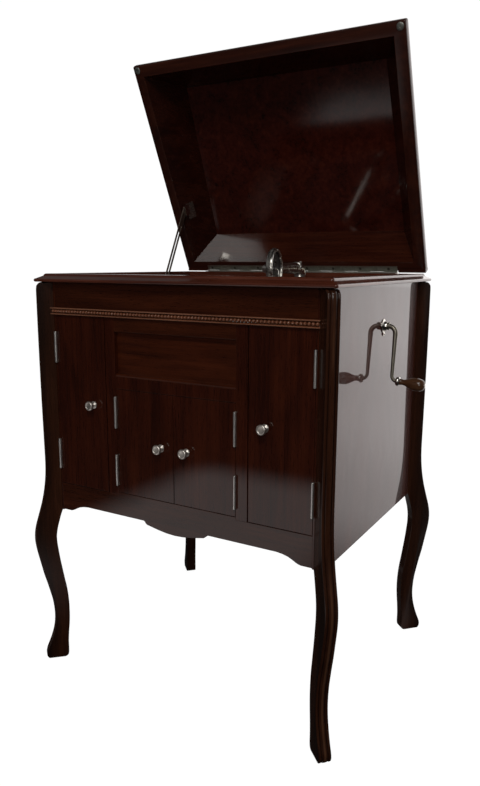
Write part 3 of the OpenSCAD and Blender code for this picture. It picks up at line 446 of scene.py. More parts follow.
def sweep(path, radius, seg=20, place=lambda p: tuple(p), caps=True, shape=None):
    """A round bar along a path; radius is a function of the distance along it (0 to 1)."""
    path = [Vector(p) for p in path]
    dist = [0.0]
    for a, b in zip(path, path[1:]):
        dist.append(dist[-1] + (b - a).length)
    v = []
    tang = []
    for i in range(len(path)):
        a, b = path[max(i - 1, 0)], path[min(i + 1, len(path) - 1)]
        tang.append((b - a).normalized())
    ref = Vector((0, 0, 1)) if abs(tang[0].z) < 0.9 else Vector((0, 1, 0))
    nrm = (ref - tang[0] * ref.dot(tang[0])).normalized()
    for i, p in enumerate(path):
        if i:
            q = tang[i - 1].rotation_difference(tang[i])
            nrm = (q @ nrm)
            nrm = (nrm - tang[i] * nrm.dot(tang[i])).normalized()
        bi = tang[i].cross(nrm)
        r = radius(dist[i] / dist[-1], dist[i])
        for j in range(seg):
            a = 2 * math.pi * j / seg
            rr = r * (shape(a) if shape else 1.0)
            v.append(place(p + nrm * (rr * math.cos(a)) + bi * (rr * math.sin(a))))
    f = grid_faces(len(path), seg, False, True)
    if caps:
        f.append(tuple(reversed(range(seg))))
        f.append(tuple(range((len(path) - 1) * seg, len(path) * seg)))
    return v, f


def fix_normals(o):
    import bmesh
    bm = bmesh.new()
    bm.from_mesh(o.data)
    bmesh.ops.recalc_face_normals(bm, faces=bm.faces)
    bm.to_mesh(o.data)
    bm.free()
    o.data.update()
    return o


# ------------------------------------------------------------------ top boards
def board(name, hx, y0, y1, z0, z1, inset, cad, ledge=None):
    """Frame with a half-round edge; with a ledge (edge's top, ledge's top, width), its top slopes up to the board above.
    Without one, the edge is a quarter-round and the back stays square for the hinge."""
    lv = [(-297, 297, -235, 241, z0, 0.5)]
    if ledge:
        zt, zl, w = ledge
        for a in range(-90, 91, 15):
            q = inset * (1 - math.cos(math.radians(a)))
            lv.append((-hx + q, hx - q, y0 + q, y1 - q, (z0 + zt) / 2 + (zt - z0) / 2 * math.sin(math.radians(a)), 5 - q * 0.5))
        lv += [(-hx + q + 0.5, hx - q - 0.5, y0 + q + 0.5, y1 - q - 0.5, zt + 0.18, 4), (-hx + w, hx - w, y0 + w, y1 - 6.5, zl, 3.5),
               (-hx + w + 0.1, hx - w - 0.1, y0 + w + 0.1, y1 - 6.6, z1, 3.4)]
    else:
        lv += [(-hx + 0.5, hx - 0.5, y0 + 0.5, y1 - 0.3, z0, 5), (-hx, hx, y0, y1, z0 + 0.6, 5)]
        for a in range(0, 91, 10):
            q = inset * (1 - math.cos(math.radians(a)))
            lv.append((-hx + q, hx - q, y0 + q, y1 - min(q, 0.6), z0 + 1.2 + (z1 - z0 - 1.2) * math.sin(math.radians(a)), 5))
    lv.append((-297, 297, -235, 241, z1, 0.5))
    v, f, fm = ring_loft(lv)
    b = Build()
    b.add(v, f, fm=fm)
    return fix_normals(b.make(name, [WOOD_TOP_X, WOOD_TOP_Y], "root", "mahogany", replaces=[cad]))


board("top_step_lower", 333.8, -273.2, 273.2, 833.5, 843, 2.4, "top_lower_board", (840.0, 845.4, 13.4))
board("top_step_upper", 321, -259, 266.7, 843, 850, 4.6, "top_upper_board")


# ------------------------------------------------------------------ lid
def lid_place(x, y, z):
    return lid(x, -y, z)


# the crown board slopes up towards the lid's free edge, and the walls' tops follow it
CROWN_TILT = math.tan(math.radians(2))


def crown_place(x, y, z):
    return lid(x, -y, z + (-y - 54) * CROWN_TILT)


def wall_place(k):
    def place(x, y, z):
        n = z + max(0.0, z - 20) / 57 * (-y - 54) * CROWN_TILT
        return lid(math.copysign(abs(x) - k * (n - z), x), -y, n)
    return place


lv = [(-296, 296, -490, -25.2, 1, 0.5)]
for a in range(-90, 91, 15):
    q = 2.6 * (1 - math.cos(math.radians(a)))
    lv.append((-321 + q, 321 - q, -515 + q, -3.2 - min(q, 2.0), 10.5 + 9.5 * math.sin(math.radians(a)), 4.5 - q))
lv.append((-296, 296, -490, -25.2, 20, 0.5))
v, f, fm = ring_loft(lv, lid_place)
b = Build()
b.add(v, f, fm=fm)
# the rail's ends beyond the hinge reach down to its pin
for sx in (-1, 1):
    heel = [(0.6, 1.2), (5, 1.2), (5, 18.8), (1.6, 18.8), (0.0, 17.6), (-0.6, 15.5), (-0.6, 3.0), (-0.2, 1.8)]
    vv = [lid(sx * x, u + (0.5 if e and u < 3 else 0), n) for x, e in ((257.4, 1), (258.2, 0), (319.2, 0), (320.2, 1)) for u, n in heel]
    b.add(vv, grid_faces(4, 8, False, True) + [tuple(range(8)), tuple(range(24, 32))])
fix_normals(b.make("lid_frame", [RIM_X, RIM_Y], "lid", "mahogany", replaces=["lid_rim"]))

# walls: plain slopes inside, a hollow moulded slope outside
lv = [(-296, 296, -490, -25.2, 0.9, 0.4), (-296, 296, -490, -25.2, 20, 0.4)]
prof = spline([(301.5, 18, 501, 20), (297.5, 21.5, 496.5, 24), (289.5, 31, 485.5, 38), (279, 43, 470.5, 56), (269, 54.5, 458.5, 70), (264.5, 59.5, 453.5, 77)], 4)
for xx, u0, u1, nn in prof:
    lv.append((-xx, xx, -u1, -u0, nn, 0.8))
outer_v, _, _ = ring_loft(lv, wall_place(0.6316))
inner = [(-254.5, 254.5, -437, -70, 77.0, 0.4), (-295.5, 295.5, -489.5, -26, 0.9, 0.4)]
inner_v, _, _ = ring_loft(inner, wall_place(0.5388))
_, f, fm = ring_loft(lv + inner)
b = Build()
b.add(outer_v + inner_v, f, fm=fm)
fix_normals(b.make("lid_slopes", [WOOD_LIDX, WOOD_LIDY_SHADED], "lid", "mahogany", replaces=["lid_walls"], sharp=18))

# crown board with a rounded edge and a small step
lv = []
ins = [(6.0, 77.0), (1.6, 77.0)] + [(2.6 * (1 - math.cos(math.radians(a))) , 82.4 + 5.2 * math.sin(math.radians(a))) for a in range(-80, 91, 17)] + [(9, 87.7), (10, 89.0), (14, 89.0)]
b = Build()
rows = []
for q, nn in ins:
    pts, _ = round_rect(-268 + q, 268 - q, -457.3 + q, -54 - q, 5, 4)
    rows.append([crown_place(x, y, nn) for x, y in pts])
n = len(rows[0])
b.add([p for r in rows for p in r], grid_faces(len(rows), n, False, True))
b.f.append(tuple(range(n)))
b.m.append(0)
b.f.append(tuple(range((len(rows) - 1) * n, len(rows) * n)))
b.m.append(0)
fix_normals(b.make("lid_crown_board", [WOOD_CROWN], "lid", "mahogany", replaces=["lid_crown"]))

# corner buffers: rubber-faced studs with a centre pin
b = Build()
for sx in (-1, 1):
    prof = [(7.4, 0), (7.5, -0.5), (7.1, -0.9), (5.6, -1.4), (3.6, -1.65), (2.0, -1.75), (1.9, -1.5), (0.01, -1.4)]
    v, f = lathe(prof, 36, lambda x, y, z, s=sx: lid(s * 309.6 + x, 504.2 + y, 1.0 + z))
    b.add(v, f)
fix_normals(b.make("corner_buffers", [GREY_BUFFER], "lid", "nickel", replaces=["lid_buffers"]))


# ------------------------------------------------------------------ legs
LEG_OUT = [(9, 833.3), (15, 831.8), (19.5, 828), (22, 821.5), (22.5, 800), (22.5, 700), (22, 600), (21, 500), (20.6, 452),
           (21.6, 425), (24, 402), (27.5, 381), (31.5, 363), (36.5, 345), (41.5, 328), (46, 312), (48.8, 297), (49.6, 281),
           (48.2, 265), (44.8, 247), (39.8, 224), (34.5, 200), (29, 180), (23.5, 158), (19.2, 139), (16.6, 121), (15.4, 103),
           (16.1, 86), (18.4, 71), (22, 57), (26.8, 42), (31.6, 30), (35.6, 20), (37, 13), (36, 5.5), (32, 0)]
LEG_IN = [(-5, 0), (-10, 3.5), (-12, 13), (-12, 34), (-13.5, 58), (-15.8, 82), (-16.8, 106), (-16, 130), (-13.5, 154),
          (-9.3, 178), (-5, 204), (-1.5, 226), (1.2, 247), (3.2, 266), (3.2, 286), (0.6, 304), (-3.5, 320), (-7.5, 334), (-12, 347)]


def reed_depth(t):
    t = abs(t)
    if t <= 5.7:
        return 7.6 - math.sqrt(7.6 ** 2 - t * t)
    if t <= 6.3:
        return 3.3
    return 1.0 + 3.15 - math.sqrt(max(3.15 ** 2 - (t - 9.1) ** 2, 0.2))


def leg_mesh(b, sx, sy):
    outer = spline(LEG_OUT, 5)
    inner = spline(LEG_IN, 4) + [(-12, 833.3)]
    ts = [-12, -11.7, -11.2, -10.4, -9.7, -9.1, -8.4, -7.6, -6.9, -6.3, -6.0, -5.7, -5.0, -4.2, -3.2, -2.1, -1.0, 0]
    ts = ts + [-t for t in reversed(ts[:-1])]
    r2 = math.sqrt(0.5)

    def put3(s, t, z):
        # s out along the diagonal, t across it
        return (sx * (HX + r2 * s - r2 * t), sy * (HY + r2 * s + r2 * t), z)

    v, a = [], []
    n = len(outer)
    for i, (s, z) in enumerate(outer):
        p, q = outer[max(i - 1, 0)], outer[min(i + 1, n - 1)]
        ds, dz = q[0] - p[0], q[1] - p[1]
        ln = math.hypot(ds, dz)
        ns, nz = -dz / ln, ds / ln
        for t in ts:
            g = reed_depth(t)
            if z < 26:
                g *= 0.35 + 0.65 * z / 26
            v.append(put3(s - ns * g, t, max(z - nz * g, 0.0)))
            # crest value: 0 in the grooves, where the leg finish paints shade, 1 on the crests, where it shows wear
            a.append(1.0 - min(reed_depth(t) / 3.3, 1.0))
    m = len(ts)
    f = grid_faces(n, m)
    k0 = len(v)
    tin = [(-12, 0.9), (-11.1, 0.0), (11.1, 0.0), (12, 0.9)]
    ni = len(inner)
    for i, (s, z) in enumerate(inner):
        for t, g in tin:
            v.append(put3(s + g, t, z))
            a.append(0.7)
    f += [tuple(k0 + i for i in q) for q in grid_faces(ni, 4)]
    # flat sides
    f.append(tuple([i * m for i in range(n)] + [k0 + i * 4 for i in range(ni)]))
    f.append(tuple([i * m + m - 1 for i in range(n)] + [k0 + i * 4 + 3 for i in range(ni)]))
    # top and sole
    f.append(tuple(list(range(m)) + [k0 + (ni - 1) * 4 + j for j in (3, 2, 1, 0)]))
    f.append(tuple([(n - 1) * m + j for j in range(m)] + [k0 + j for j in (3, 2, 1, 0)]))
    b.add(v, f, attr=a)


b = Build()
for sx in (-1, 1):
    for sy in (-1, 1):
        leg_mesh(b, sx, sy)
fix_normals(b.make("reeded_legs", [WOOD_LEG], "root", "mahogany", replaces=["legs"], sharp=38))


# ------------------------------------------------------------------ beaded strip
def strip():
    b = Build()
    prof = [(0, 767.4), (4.6, 767.4), (5.6, 767.8), (6.1, 768.6), (5.8, 769.5), (5.0, 770.1), (3.2, 770.4), (2.6, 771.2),
            (2.6, 778.0), (3.2, 778.8), (5.2, 779.1), (6.3, 779.7), (6.7, 780.6), (6.2, 781.4), (4.8, 781.8), (0, 781.8)]
    # crest values of the rails: low on the band behind the beads, which gets painted shade, high on the rails' rounded
    # edges
    att = [0.2, 0.9, 0.97, 1.0, 0.9, 0.5, 0.1, 0.05, 0.05, 0.1, 0.6, 0.95, 1.0, 1.0, 0.9, 0.3]
    v, a = [], []
    xs = [-1, 1]
    for s in xs:
        for (p, z), k in zip(prof, att):
            v.append((s * (295.93 + min(p, 4.5)), -HY - p, z))
            a.append(k)
    n = len(prof)
    f = [(j, (j + 1) % n, n + (j + 1) % n, n + j) for j in range(n)]
    f += [tuple(range(n)), tuple(range(2 * n - 1, n - 1, -1))]
    b.add(v, f, attr=a)
    seg, rings, r = 12, 5, 3.45
    count = 80
    for i in range(count):
        cx = (i - (count - 1) / 2) * 7.46
        vv, aa = [], []
        for q in range(rings + 1):
            e = math.radians(90 * q / rings)
            for j in range(seg):
                t = 2 * math.pi * j / seg
                vv.append((cx + r * math.cos(e) * math.cos(t), -HY - 2.9 - 3.9 * math.sin(e), 774.6 + r * math.cos(e) * math.sin(t)))
                # lower towards each bead's base, where the finish paints shade
                aa.append(0.35 + 0.65 * math.sin(e))
        b.add(vv, grid_faces(rings + 1, seg, False, True), attr=aa)
    return fix_normals(b.make("bead_moulding", [WOOD_BEAD], "root", "mahogany", replaces=["bead_strip"], sharp=50))


strip()

# ------------------------------------------------------------------ knobs
KNOB = [(7.6, 0), (7.7, 0.7), (7.2, 1.4), (6.4, 1.7), (5.9, 2.5), (4.6, 3.2), (3.7, 4.4), (3.5, 6.0), (3.9, 7.8), (5.2, 9.4),
        (7.3, 10.6), (8.9, 11.6), (9.6, 12.9), (9.7, 14.2), (9.3, 15.5), (8.4, 16.5), (7.3, 16.9), (6.5, 16.8), (6.0, 16.3), (5.4, 16.1),
        (3.4, 15.9), (1.4, 15.85), (0.01, 15.85)]
for nm, body, cad, kx, kz in [("knob_tall_l", "tall_door_left", "tall_knob_left", -197.3, 587.6), ("knob_tall_r", "tall_door_right", "tall_knob_right", 197.3, 587.6),
                              ("knob_centre_l", "centre_door_left", "centre_knob_left", -29.8, 519.8), ("knob_centre_r", "centre_door_right", "centre_knob_right", 29.8, 519.8)]:
    v, f = lathe(spline(KNOB, 2), 56, lambda x, y, z, kx=kx, kz=kz: (kx + x, -HY - z, kz + y))
    b = Build()
    b.add(v, f)
    fix_normals(b.make(nm, [NICKEL_SATIN], body, "nickel", replaces=[cad], sharp=45))

# ------------------------------------------------------------------ crank
WIND = Vector((0, 17, 751.9))
CR_X, THROW = 338.0, 105.0
LEAN = Matrix.Rotation(math.radians(-7.5), 4, "X")


def crank_pt(p):
    """Crank frame: origin where the shaft meets the arm's plane, -z down the arm."""
    return tuple(LEAN @ Vector(p) + Vector((CR_X, 17, 751.9)))


droop = math.radians(5)
hdir = Vector((math.cos(droop), 0, -math.sin(droop)))
path = fillet_path([(-28, 0, 0), (0, 0, 0), (0, 0, -THROW), Vector((0, 0, -THROW)) + hdir * 60], [14, 11], 6, 14)
# the shaft keeps straight into the case, so its part inside the side panel has no lean to lose
v, f = sweep(path, lambda t, d: 4.5 + 0.35 * math.exp(-((d - 30) / 14) ** 2) - 1.15 * min(max((d - 40) / 80, 0), 1), 24, crank_pt)
b = Build()
b.add(v, f)
collar = [(4.5, 0), (7.0, 0), (7.4, 0.6), (7.4, 3.4), (6.8, 4.2), (4.5, 4.4)]
v, f = lathe(collar, 36, lambda x, y, z: (320.95 + z, 17 + x, 751.9 + y), close=True)
b.add(v, f)
v, f = sweep([(-41, 17, 751.9), (120, 17, 751.9), (312, 17, 751.9)], lambda t, d: 4.95, 24)
b.add(v, f)
gv, gf = [], []
for x0 in (-40.0, -35.0):
    for i in range(16):
        for dr, da in ((-1.25, -0.28), (0.95, -0.11), (0.95, 0.11), (-1.25, 0.28)):
            a = 2 * math.pi * (i + da) / 16
            gv.append((x0, 17 + (8 + dr) * math.sin(a), 751.9 - (8 + dr) * math.cos(a)))
gf = [(j, (j + 1) % 64, 64 + (j + 1) % 64, 64 + j) for j in range(64)] + [tuple(range(63, -1, -1)), tuple(range(64, 128))]
b.add(gv, gf)
fix_normals(b.make("crank_arm", [CRANK_STEEL], "crank", "steel", replaces=["crank_rod"], sharp=40))

hq = Matrix.Rotation(math.radians(95), 4, "Y")


def handle_pt(x, y, z):
    return crank_pt(hq @ Vector((x, y, z)) + Vector((8, 0, -THROW)))


b = Build()
wood_prof = spline([(6.6, 9.0), (6.0, 10.2), (5.5, 12.2), (5.4, 15), (5.9, 18.8), (7.6, 23), (10, 28.3), (11.9, 34.4), (12.6, 40.6),
                    (12.2, 46.6), (10.8, 52), (8.4, 55.8), (5.4, 57.4), (4.2, 57.6)], 3)
v, f = lathe([(3.4, 9.0)] + wood_prof + [(3.4, 57.0)], 48, handle_pt, close=True)
b.add(v, f, 0)
fix_normals(b.make("handle_turned", [HANDLE_WOOD], "crank_grip", "handle_wood", replaces=["crank_handle"], sharp=40))
b = Build()
ferrule = spline([(4.4, 1.2), (6.9, 1.3), (8.2, 2.2), (8.9, 3.6), (9.0, 5.4), (8.5, 7.2), (7.3, 8.4), (6.7, 9.1)], 2)
v, f = lathe(ferrule + [(3.4, 9.1), (3.4, 4.0), (4.4, 4.0)], 48, handle_pt, close=True)
b.add(v, f)
cap = spline([(3.4, 56.9), (4.4, 57.5), (4.1, 58.2), (2.6, 58.7), (0.01, 58.8)], 3)
v, f = lathe([(0.01, 55.5), (3.35, 55.5)] + cap, 40, handle_pt)
b.add(v, f)
fix_normals(b.make("handle_ferrule", [NICKEL_WORN], "crank_grip", "nickel", sharp=45))

# escutcheon: dished plate, boss and the small catch under it
b = Build()
esc = spline([(14.0, 0.0), (14.0, 0.9), (13.2, 1.8), (11.4, 2.4), (10.2, 3.3), (9.2, 4.6), (8.4, 6.4), (7.9, 8.0), (6.6, 8.4), (5.4, 8.2)], 2)
v, f = lathe([(8.9, -12.0), (8.9, 0.0)] + esc + [(5.15, 7.8), (5.15, -12.0)], 56, lambda x, y, z: (HX + z, 17 + x, 751.9 + y), close=True)
b.add(v, f)
lug = [(-5.2, -11.5), (-4.6, -16.2), (-2.6, -18.6), (0, -19.4), (2.6, -18.6), (4.6, -16.2), (5.2, -11.5)]
n = len(lug)
vv = [(HX + 0.02, 17 + y, 751.9 + z) for y, z in lug] + [(HX + 1.7, 17 + y, 751.9 + z) for y, z in lug] + [(HX + 2.2, 17 + y * 0.78, 751.9 + (z + 11.5) * 0.8 - 11.5) for y, z in lug]
ff = [(j, j + 1, n + j + 1, n + j) for j in range(n - 1)] + [(n + j, n + j + 1, 2 * n + j + 1, 2 * n + j) for j in range(n - 1)] + [tuple(range(n - 1, -1, -1)), tuple(range(2 * n, 3 * n))]
ff += [(0, n, 2 * n), (n - 1, 2 * n - 1, 3 * n - 1), (0, 2 * n, 3 * n - 1, n - 1)]
b.add(vv, ff)
v, f = lathe([(0.01, 2.0), (2.0, 2.0), (2.0, 2.9), (1.2, 3.5), (0.01, 3.6)], 20, lambda x, y, z: (HX + z, 17 + x, 736.2 + y))
b.add(v, f)
fix_normals(b.make("winding_plate", [NICKEL], "root", "nickel", replaces=["crank_escutcheon"], sharp=40))

# ------------------------------------------------------------------ tonearm and soundbox
ARM = Matrix.Translation((48, 190, 861)) @ Matrix.Rotation(math.radians(-79), 4, "Z")
NECK = -22.2


def arm_pt(p):
    return tuple(ARM @ Vector(p))


path = fillet_path([(0, 0, -30), (0, 0, 0), (210, NECK, 0), (210, -9.9, 0)], [16, 11.5], 9, 16)
total = sum((b_ - a_).length for a_, b_ in zip(path, path[1:]))
v, f = sweep(path, lambda t, d: 14.2 - 0.9 * min(d / 30, 1) - 4.3 * min(max((d - 30) / 175, 0), 1) - (1.0 * max(0, (d - (total - 12)) / 12)), 36, arm_pt)
b = Build()
b.add(v, f)
# seam rings, elbow collar and its thumb screw
for d0, rr, w in ((-28.6, 18.0, 4.0), (-23.2, 15.4, 1.6)):
    prof = [(12, d0), (rr - 0.5, d0), (rr, d0 + 0.5), (rr, d0 + w - 0.5), (rr - 0.5, d0 + w), (12, d0 + w)]
    v, f = lathe(prof, 48, lambda x, y, z: arm_pt((x, y, z)), close=True)
    b.add(v, f)
a5 = math.atan2(NECK, 210)
tube_q = Matrix.Rotation(a5, 4, "Z") @ Matrix.Rotation(math.radians(90), 4, "Y")


def along(x, y, z):
    return arm_pt(tube_q @ Vector((x, y, z)))


for d0, rr in ((26.5, 13.9), (150, 11.2)):
    prof = spline([(rr - 1.4, d0), (rr, d0 + 0.8), (rr, d0 + 2.8), (rr - 1.4, d0 + 3.6)], 2)
    v, f = lathe([(8, d0)] + prof + [(8, d0 + 3.6)], 40, along, close=True)
    b.add(v, f)
for px, py, h in ((-5.0, 0.0, 12.6), (158, -16.7, 9.8)):
    v, f = lathe(spline([(2.4, h - 3), (2.4, h + 0.6), (3.1, h + 0.9), (3.3, h + 2.0), (2.6, h + 2.9), (0.01, h + 3.2)], 2), 20, lambda x, y, z, px=px, py=py: arm_pt((px + x, py + y, z)))
    b.add(v, f)
# inner pipe in the base and the spigot that the soundbox turns on
v, f = lathe([(12.7, -64), (15, -64), (15, -28), (12.7, -28)], 40, lambda x, y, z: arm_pt((x, y, z)), close=True)
b.add(v, f)
v, f = lathe([(0.01, NECK + 6), (6.3, NECK + 6), (6.3, -4.6), (5.0, -4.6), (5.0, NECK + 8), (0.01, NECK + 8)], 32, lambda x, y, z: arm_pt((210 + x, z, y)))
b.add(v, f)
fix_normals(b.make("tonearm_tube", [NICKEL_ARM], "tonearm", "nickel", replaces=["tonearm"], sharp=38))

b = Build()
base = spline([(31, 787.0), (31, 788.6), (30.2, 790.2), (27.5, 791.0), (23.5, 791.6), (20.8, 793.4), (19.4, 797), (19, 804), (19, 816), (19, 823),
               (19.6, 824.6), (20.5, 825.6), (20.5, 829.6), (19.8, 831.4), (18, 832.0)], 2)
v, f = lathe([(13.2, 775), (20.4, 775), (20.4, 787)] + base + [(15.1, 832.0), (15.1, 796), (13.2, 796)], 56, lambda x, y, z: (48 + x, 190 + y, z), close=True)
b.add(v, f)
for k in range(3):
    a = math.radians(90 + 120 * k)
    v, f = lathe([(0.01, 790.6), (2.9, 790.6), (2.7, 791.8), (1.6, 792.4), (0.01, 792.5)], 20, lambda x, y, z, a=a: (48 + 26 * math.cos(a) + x, 190 + 26 * math.sin(a) + y, z))
    b.add(v, f)
fix_normals(b.make("tonearm_socket", [NICKEL_WORN], "root", "nickel", replaces=["tonearm_base"], sharp=38))


def box_pt(x, y, z):
    """Soundbox frame: z out of its face."""
    return arm_pt((210 + x, z, -y))


b = Build()
shell = spline([(16, -9.6), (17.5, -9.2), (19, -7.8), (24, -7.0), (32, -6.9), (37, -6.6), (39.6, -5.8), (40.7, -4.4), (41, -2.4), (41, 2.6), (40.8, 4.6),
                (40.1, 6.0), (38.6, 6.9), (36.6, 7.0), (35.0, 6.4), (34.5, 5.2)], 2)
v, f = lathe([(6.5, -1.0), (6.5, -9.6)] + shell + [(34.5, 1.9), (33.4, 1.9), (33.4, -1.0)], 96, box_pt, close=True)
b.add(v, f, 0)
# milled band round the edge
for k in range(120):
    a0 = 2 * math.pi * k / 120
    pts = []
    for da, rr in ((-0.011, 40.95), (0.0, 41.35), (0.011, 40.95)):
        for zz in (-2.0, 2.2):
            pts.append(box_pt(rr * math.cos(a0 + da), rr * math.sin(a0 + da), zz))
    b.add(pts, [(0, 2, 3, 1), (2, 4, 5, 3), (0, 1, 5, 4), (0, 4, 2), (1, 3, 5)])
# retaining screws
for k in range(3):
    a = math.radians(30 + 120 * k)
    cx, cy = 37.6 * math.cos(a), 37.6 * math.sin(a)
    v, f = lathe([(0.01, 6.4), (1.5, 6.4), (1.5, 7.3), (0.9, 7.8), (0.01, 7.9)], 16, lambda x, y, z, cx=cx, cy=cy: box_pt(cx + x, cy + y, z))
    b.add(v, f)
fix_normals(b.make("soundbox_case", [NICKEL_WORN], "soundbox", "nickel", replaces=["soundbox"], sharp=40))
b = Build()
v, f = lathe(spline([(33.4, 2.6), (33.9, 3.3), (34.4, 2.7), (34.4, 1.2)], 3) + [(33.2, 1.2)], 72, box_pt, close=True)
b.add(v, f)
v, f = lathe(spline([(16.5, -9.3), (15.4, -10.2), (12.0, -10.6), (9.0, -10.2), (8.2, -9.6)], 2), 48, box_pt)
b.add(v, f)
fix_normals(b.make("soundbox_gasket", [RUBBER], "soundbox", "nickel", sharp=50))
b = Build()
dia = [(33.2, 1.1), (33.2, 1.9)] + [(r, 1.8 + 0.35 * math.cos(r * 1.05) * (0.25 + 0.75 * (r / 30))) for r in [31.5 - 1.0 * i for i in range(28)]] + [(3.2, 2.4), (2.6, 3.1), (0.01, 3.2), ]
v, f = lathe(dia, 72, box_pt)
b.add(v, f)
fix_normals(b.make("diaphragm_disc", [MICA], "soundbox", "diaphragm", replaces=["soundbox_diaphragm"], sharp=60))
# stylus bar: springs from the rim, reaches the centre; clamp, thumb screw and needle below
b = Build()
v, f = sweep([arm_pt(p) for p in spline([(210, 3.0, -1.0), (210, 5.4, -1.4), (210, 8.4, -3.6), (210, 9.4, -9), (210, 9.6, -18), (210, 9.4, -28), (210, 9.6, -36), (210, 10.2, -43)], 4)],
             lambda t, d: 1.15 + 0.9 * t, 14)
b.add(v, f)
v, f = lathe(spline([(0.01, 1.9), (2.2, 2.0), (2.5, 2.8), (1.9, 3.7), (0.01, 3.9)], 2), 20, lambda x, y, z: arm_pt((210 + x, z, y - 0.8)))
b.add(v, f)
holder = [(0.01, -33), (3.2, -33), (3.6, -33.8), (3.6, -43.4), (3.0, -44.6), (0.01, -44.8)]
v, f = lathe(holder, 24, lambda x, y, z: arm_pt((210 + x, 10.2 + y, z)))
b.add(v, f)
bridge = [(-5.0, 6.9, -30.5), (5.0, 6.9, -30.5), (5.0, 10.6, -31.6), (-5.0, 10.6, -31.6), (-4.2, 6.9, -37.5), (4.2, 6.9, -37.5), (3.6, 10.6, -36.6), (-3.6, 10.6, -36.6)]
b.add([arm_pt((210 + x, y, z)) for x, y, z in bridge], [(0, 1, 2, 3), (7, 6, 5, 4), (0, 4, 5, 1), (1, 5, 6, 2), (2, 6, 7, 3), (3, 7, 4, 0)])
thumb = []
for z, r in ((3.4, 1.5), (6.2, 1.5), (6.6, 2.7), (7.0, 3.1), (10.4, 3.1), (10.9, 2.6), (11.2, 0.01)):
    for i in range(48):
        a = 2 * math.pi * i / 48
        rr = r * (1.0 - (0.06 if (i % 2 and r > 3) else 0.0))
        thumb.append(arm_pt((210 + z, 10.2 + rr * math.cos(a), -38.5 + rr * math.sin(a))))
b.add(thumb, grid_faces(7, 48, False, True) + [tuple(range(48))])
v, f = lathe([(0.08, 813.7 - 861), (0.35, -46.2), (0.75, -45.2), (0.75, -43)], 14, lambda x, y, z: arm_pt((210 + x, 10.2 + y, z)))
b.add(v, f)
fix_normals(b.make("stylus_bar", [NICKEL], "soundbox", "nickel", replaces=["needle_bar"], sharp=35))

# ------------------------------------------------------------------ turntable
b = Build()
R = 150
plat = [(5, 797), (13.4, 797), (14, 797.6), (14, 803.4), (15, 805), (18, 806.5), (140, 806.5), (143.6, 805.4), (145.2, 802), (145.8, 798), (146.6, 797), (149, 797),
        (149.8, 797.7), (150, 798.8), (150, 807.4), (149.6, 808.8), (148.8, 809.7), (147.6, 810), (5, 810)]
v, f = lathe(plat, 128, lambda x, y, z: (x, -10 + y, z), close=True)
b.add(v, f)
fix_normals(b.make("platter", [NICKEL_WORN], "turntable", "nickel", replaces=["turntable_platter"], sharp=35))
b = Build()
v, f = lathe([(5, 810.0), (147.8, 810.0), (148.2, 810.5), (147.9, 811.2), (146.8, 811.6), (120, 811.5), (60, 811.55), (12, 811.5), (9, 811.2), (5, 811.3)], 120, lambda x, y, z: (x, -10 + y, z), close=True)
b.add(v, f)
fix_normals(b.make("felt_mat", [MAT_FELT], "turntable", "felt", replaces=["turntable_mat"], sharp=50))


# ------------------------------------------------------------------ screws and small fittings
def screw_head(b, place, r=3.3, slot=0.7, ang=0.6):
    """Countersunk slotted head: a dished disc with a near-black bar across it, painted shade in place of the slot."""
    seg = 28
    ring = [(r, 0.0), (r * 0.9, 0.16), (r * 0.5, 0.28)]
    v = []
    for rr, h in ring:
        for i in range(seg):
            a = 2 * math.pi * i / seg
            v.append(place(rr * math.cos(a), rr * math.sin(a), h))
    f = grid_faces(3, seg, False, True)
    f.append(tuple(range(2 * seg, 3 * seg)))
    b.add(v, f, 0)
    c, s = math.cos(ang), math.sin(ang)
    q = [(-r * 0.92, -slot / 2), (r * 0.92, -slot / 2), (r * 0.92, slot / 2), (-r * 0.92, slot / 2)]
    top = [place(x * c - y * s, x * s + y * c, 0.33) for x, y in q]
    bot = [place(x * c - y * s, x * s + y * c, 0.05) for x, y in q]
    b.add(top + bot, [(0, 1, 2, 3), (7, 6, 5, 4), (0, 4, 5, 1), (1, 5, 6, 2), (2, 6, 7, 3), (3, 7, 4, 0)], 1)


# near-black finish for the bars across the screw heads: painted shade of the slots
SLOT_SHADE = metal("slot_painted_shade", (0.02, 0.018, 0.016), (0.01, 0.009, 0.008), 0.6, 0.8, 0.5, 60)
b = Build()
for k in range(8):
    x = -242 + 68.2 * k
    screw_head(b, lambda a_, b_, h, x=x: lid(x + a_, 9.6 + b_, 0.1 - h * 0.2), ang=0.4 + 1.1 * k)
fix_normals(b.make("lid_hinge_screws", [SCREW, SLOT_SHADE], "lid", "steel", sharp=40))
b = Build()
for k in range(8):
    x = -242 + 68.2 * k
    screw_head(b, lambda a_, b_, h, x=x: (x + a_, 260.2 + b_, 850.9 + h * 0.2), ang=2.0 + 0.9 * k)
fix_normals(b.make("deck_hinge_screws", [SCREW, SLOT_SHADE], "root", "steel", sharp=40))
# motor board screws and the bolts' slots
b = Build()
for px, py in ((-108, -58), (-108, 66), (60, -58), (60, 66)):
    screw_head(b, lambda a_, b_, h, px=px, py=py: (px + a_, py + b_, 789.5 + h), r=5.4, slot=1.1, ang=px * 0.1 + py)
for px, py in ((-285, -222), (285, -222), (-285, 230), (285, 230), (0, -224), (0, 232)):
    screw_head(b, lambda a_, b_, h, px=px, py=py: (px + a_, py + b_, 787.0 + h), r=4.2, slot=0.9, ang=px * 0.03 + py)
fix_normals(b.make("motor_board_screws", [NICKEL, SLOT_SHADE], "root", "nickel", sharp=40))
# felt pad on the brake
b = Build()
ang = math.radians(-142)
cx, cy = 158 + 58 * math.cos(ang), -84 + 58 * math.sin(ang)
v, f = lathe(spline([(4.05, 789.5), (5.2, 789.7), (5.4, 791), (5.4, 804), (5.2, 806), (4.05, 806.4)], 2), 24, lambda x, y, z: (cx + x, cy + y, z), close=True)
b.add(v, f)
fix_normals(b.make("brake_pad", [PAD_FELT], "brake", "felt", sharp=50))

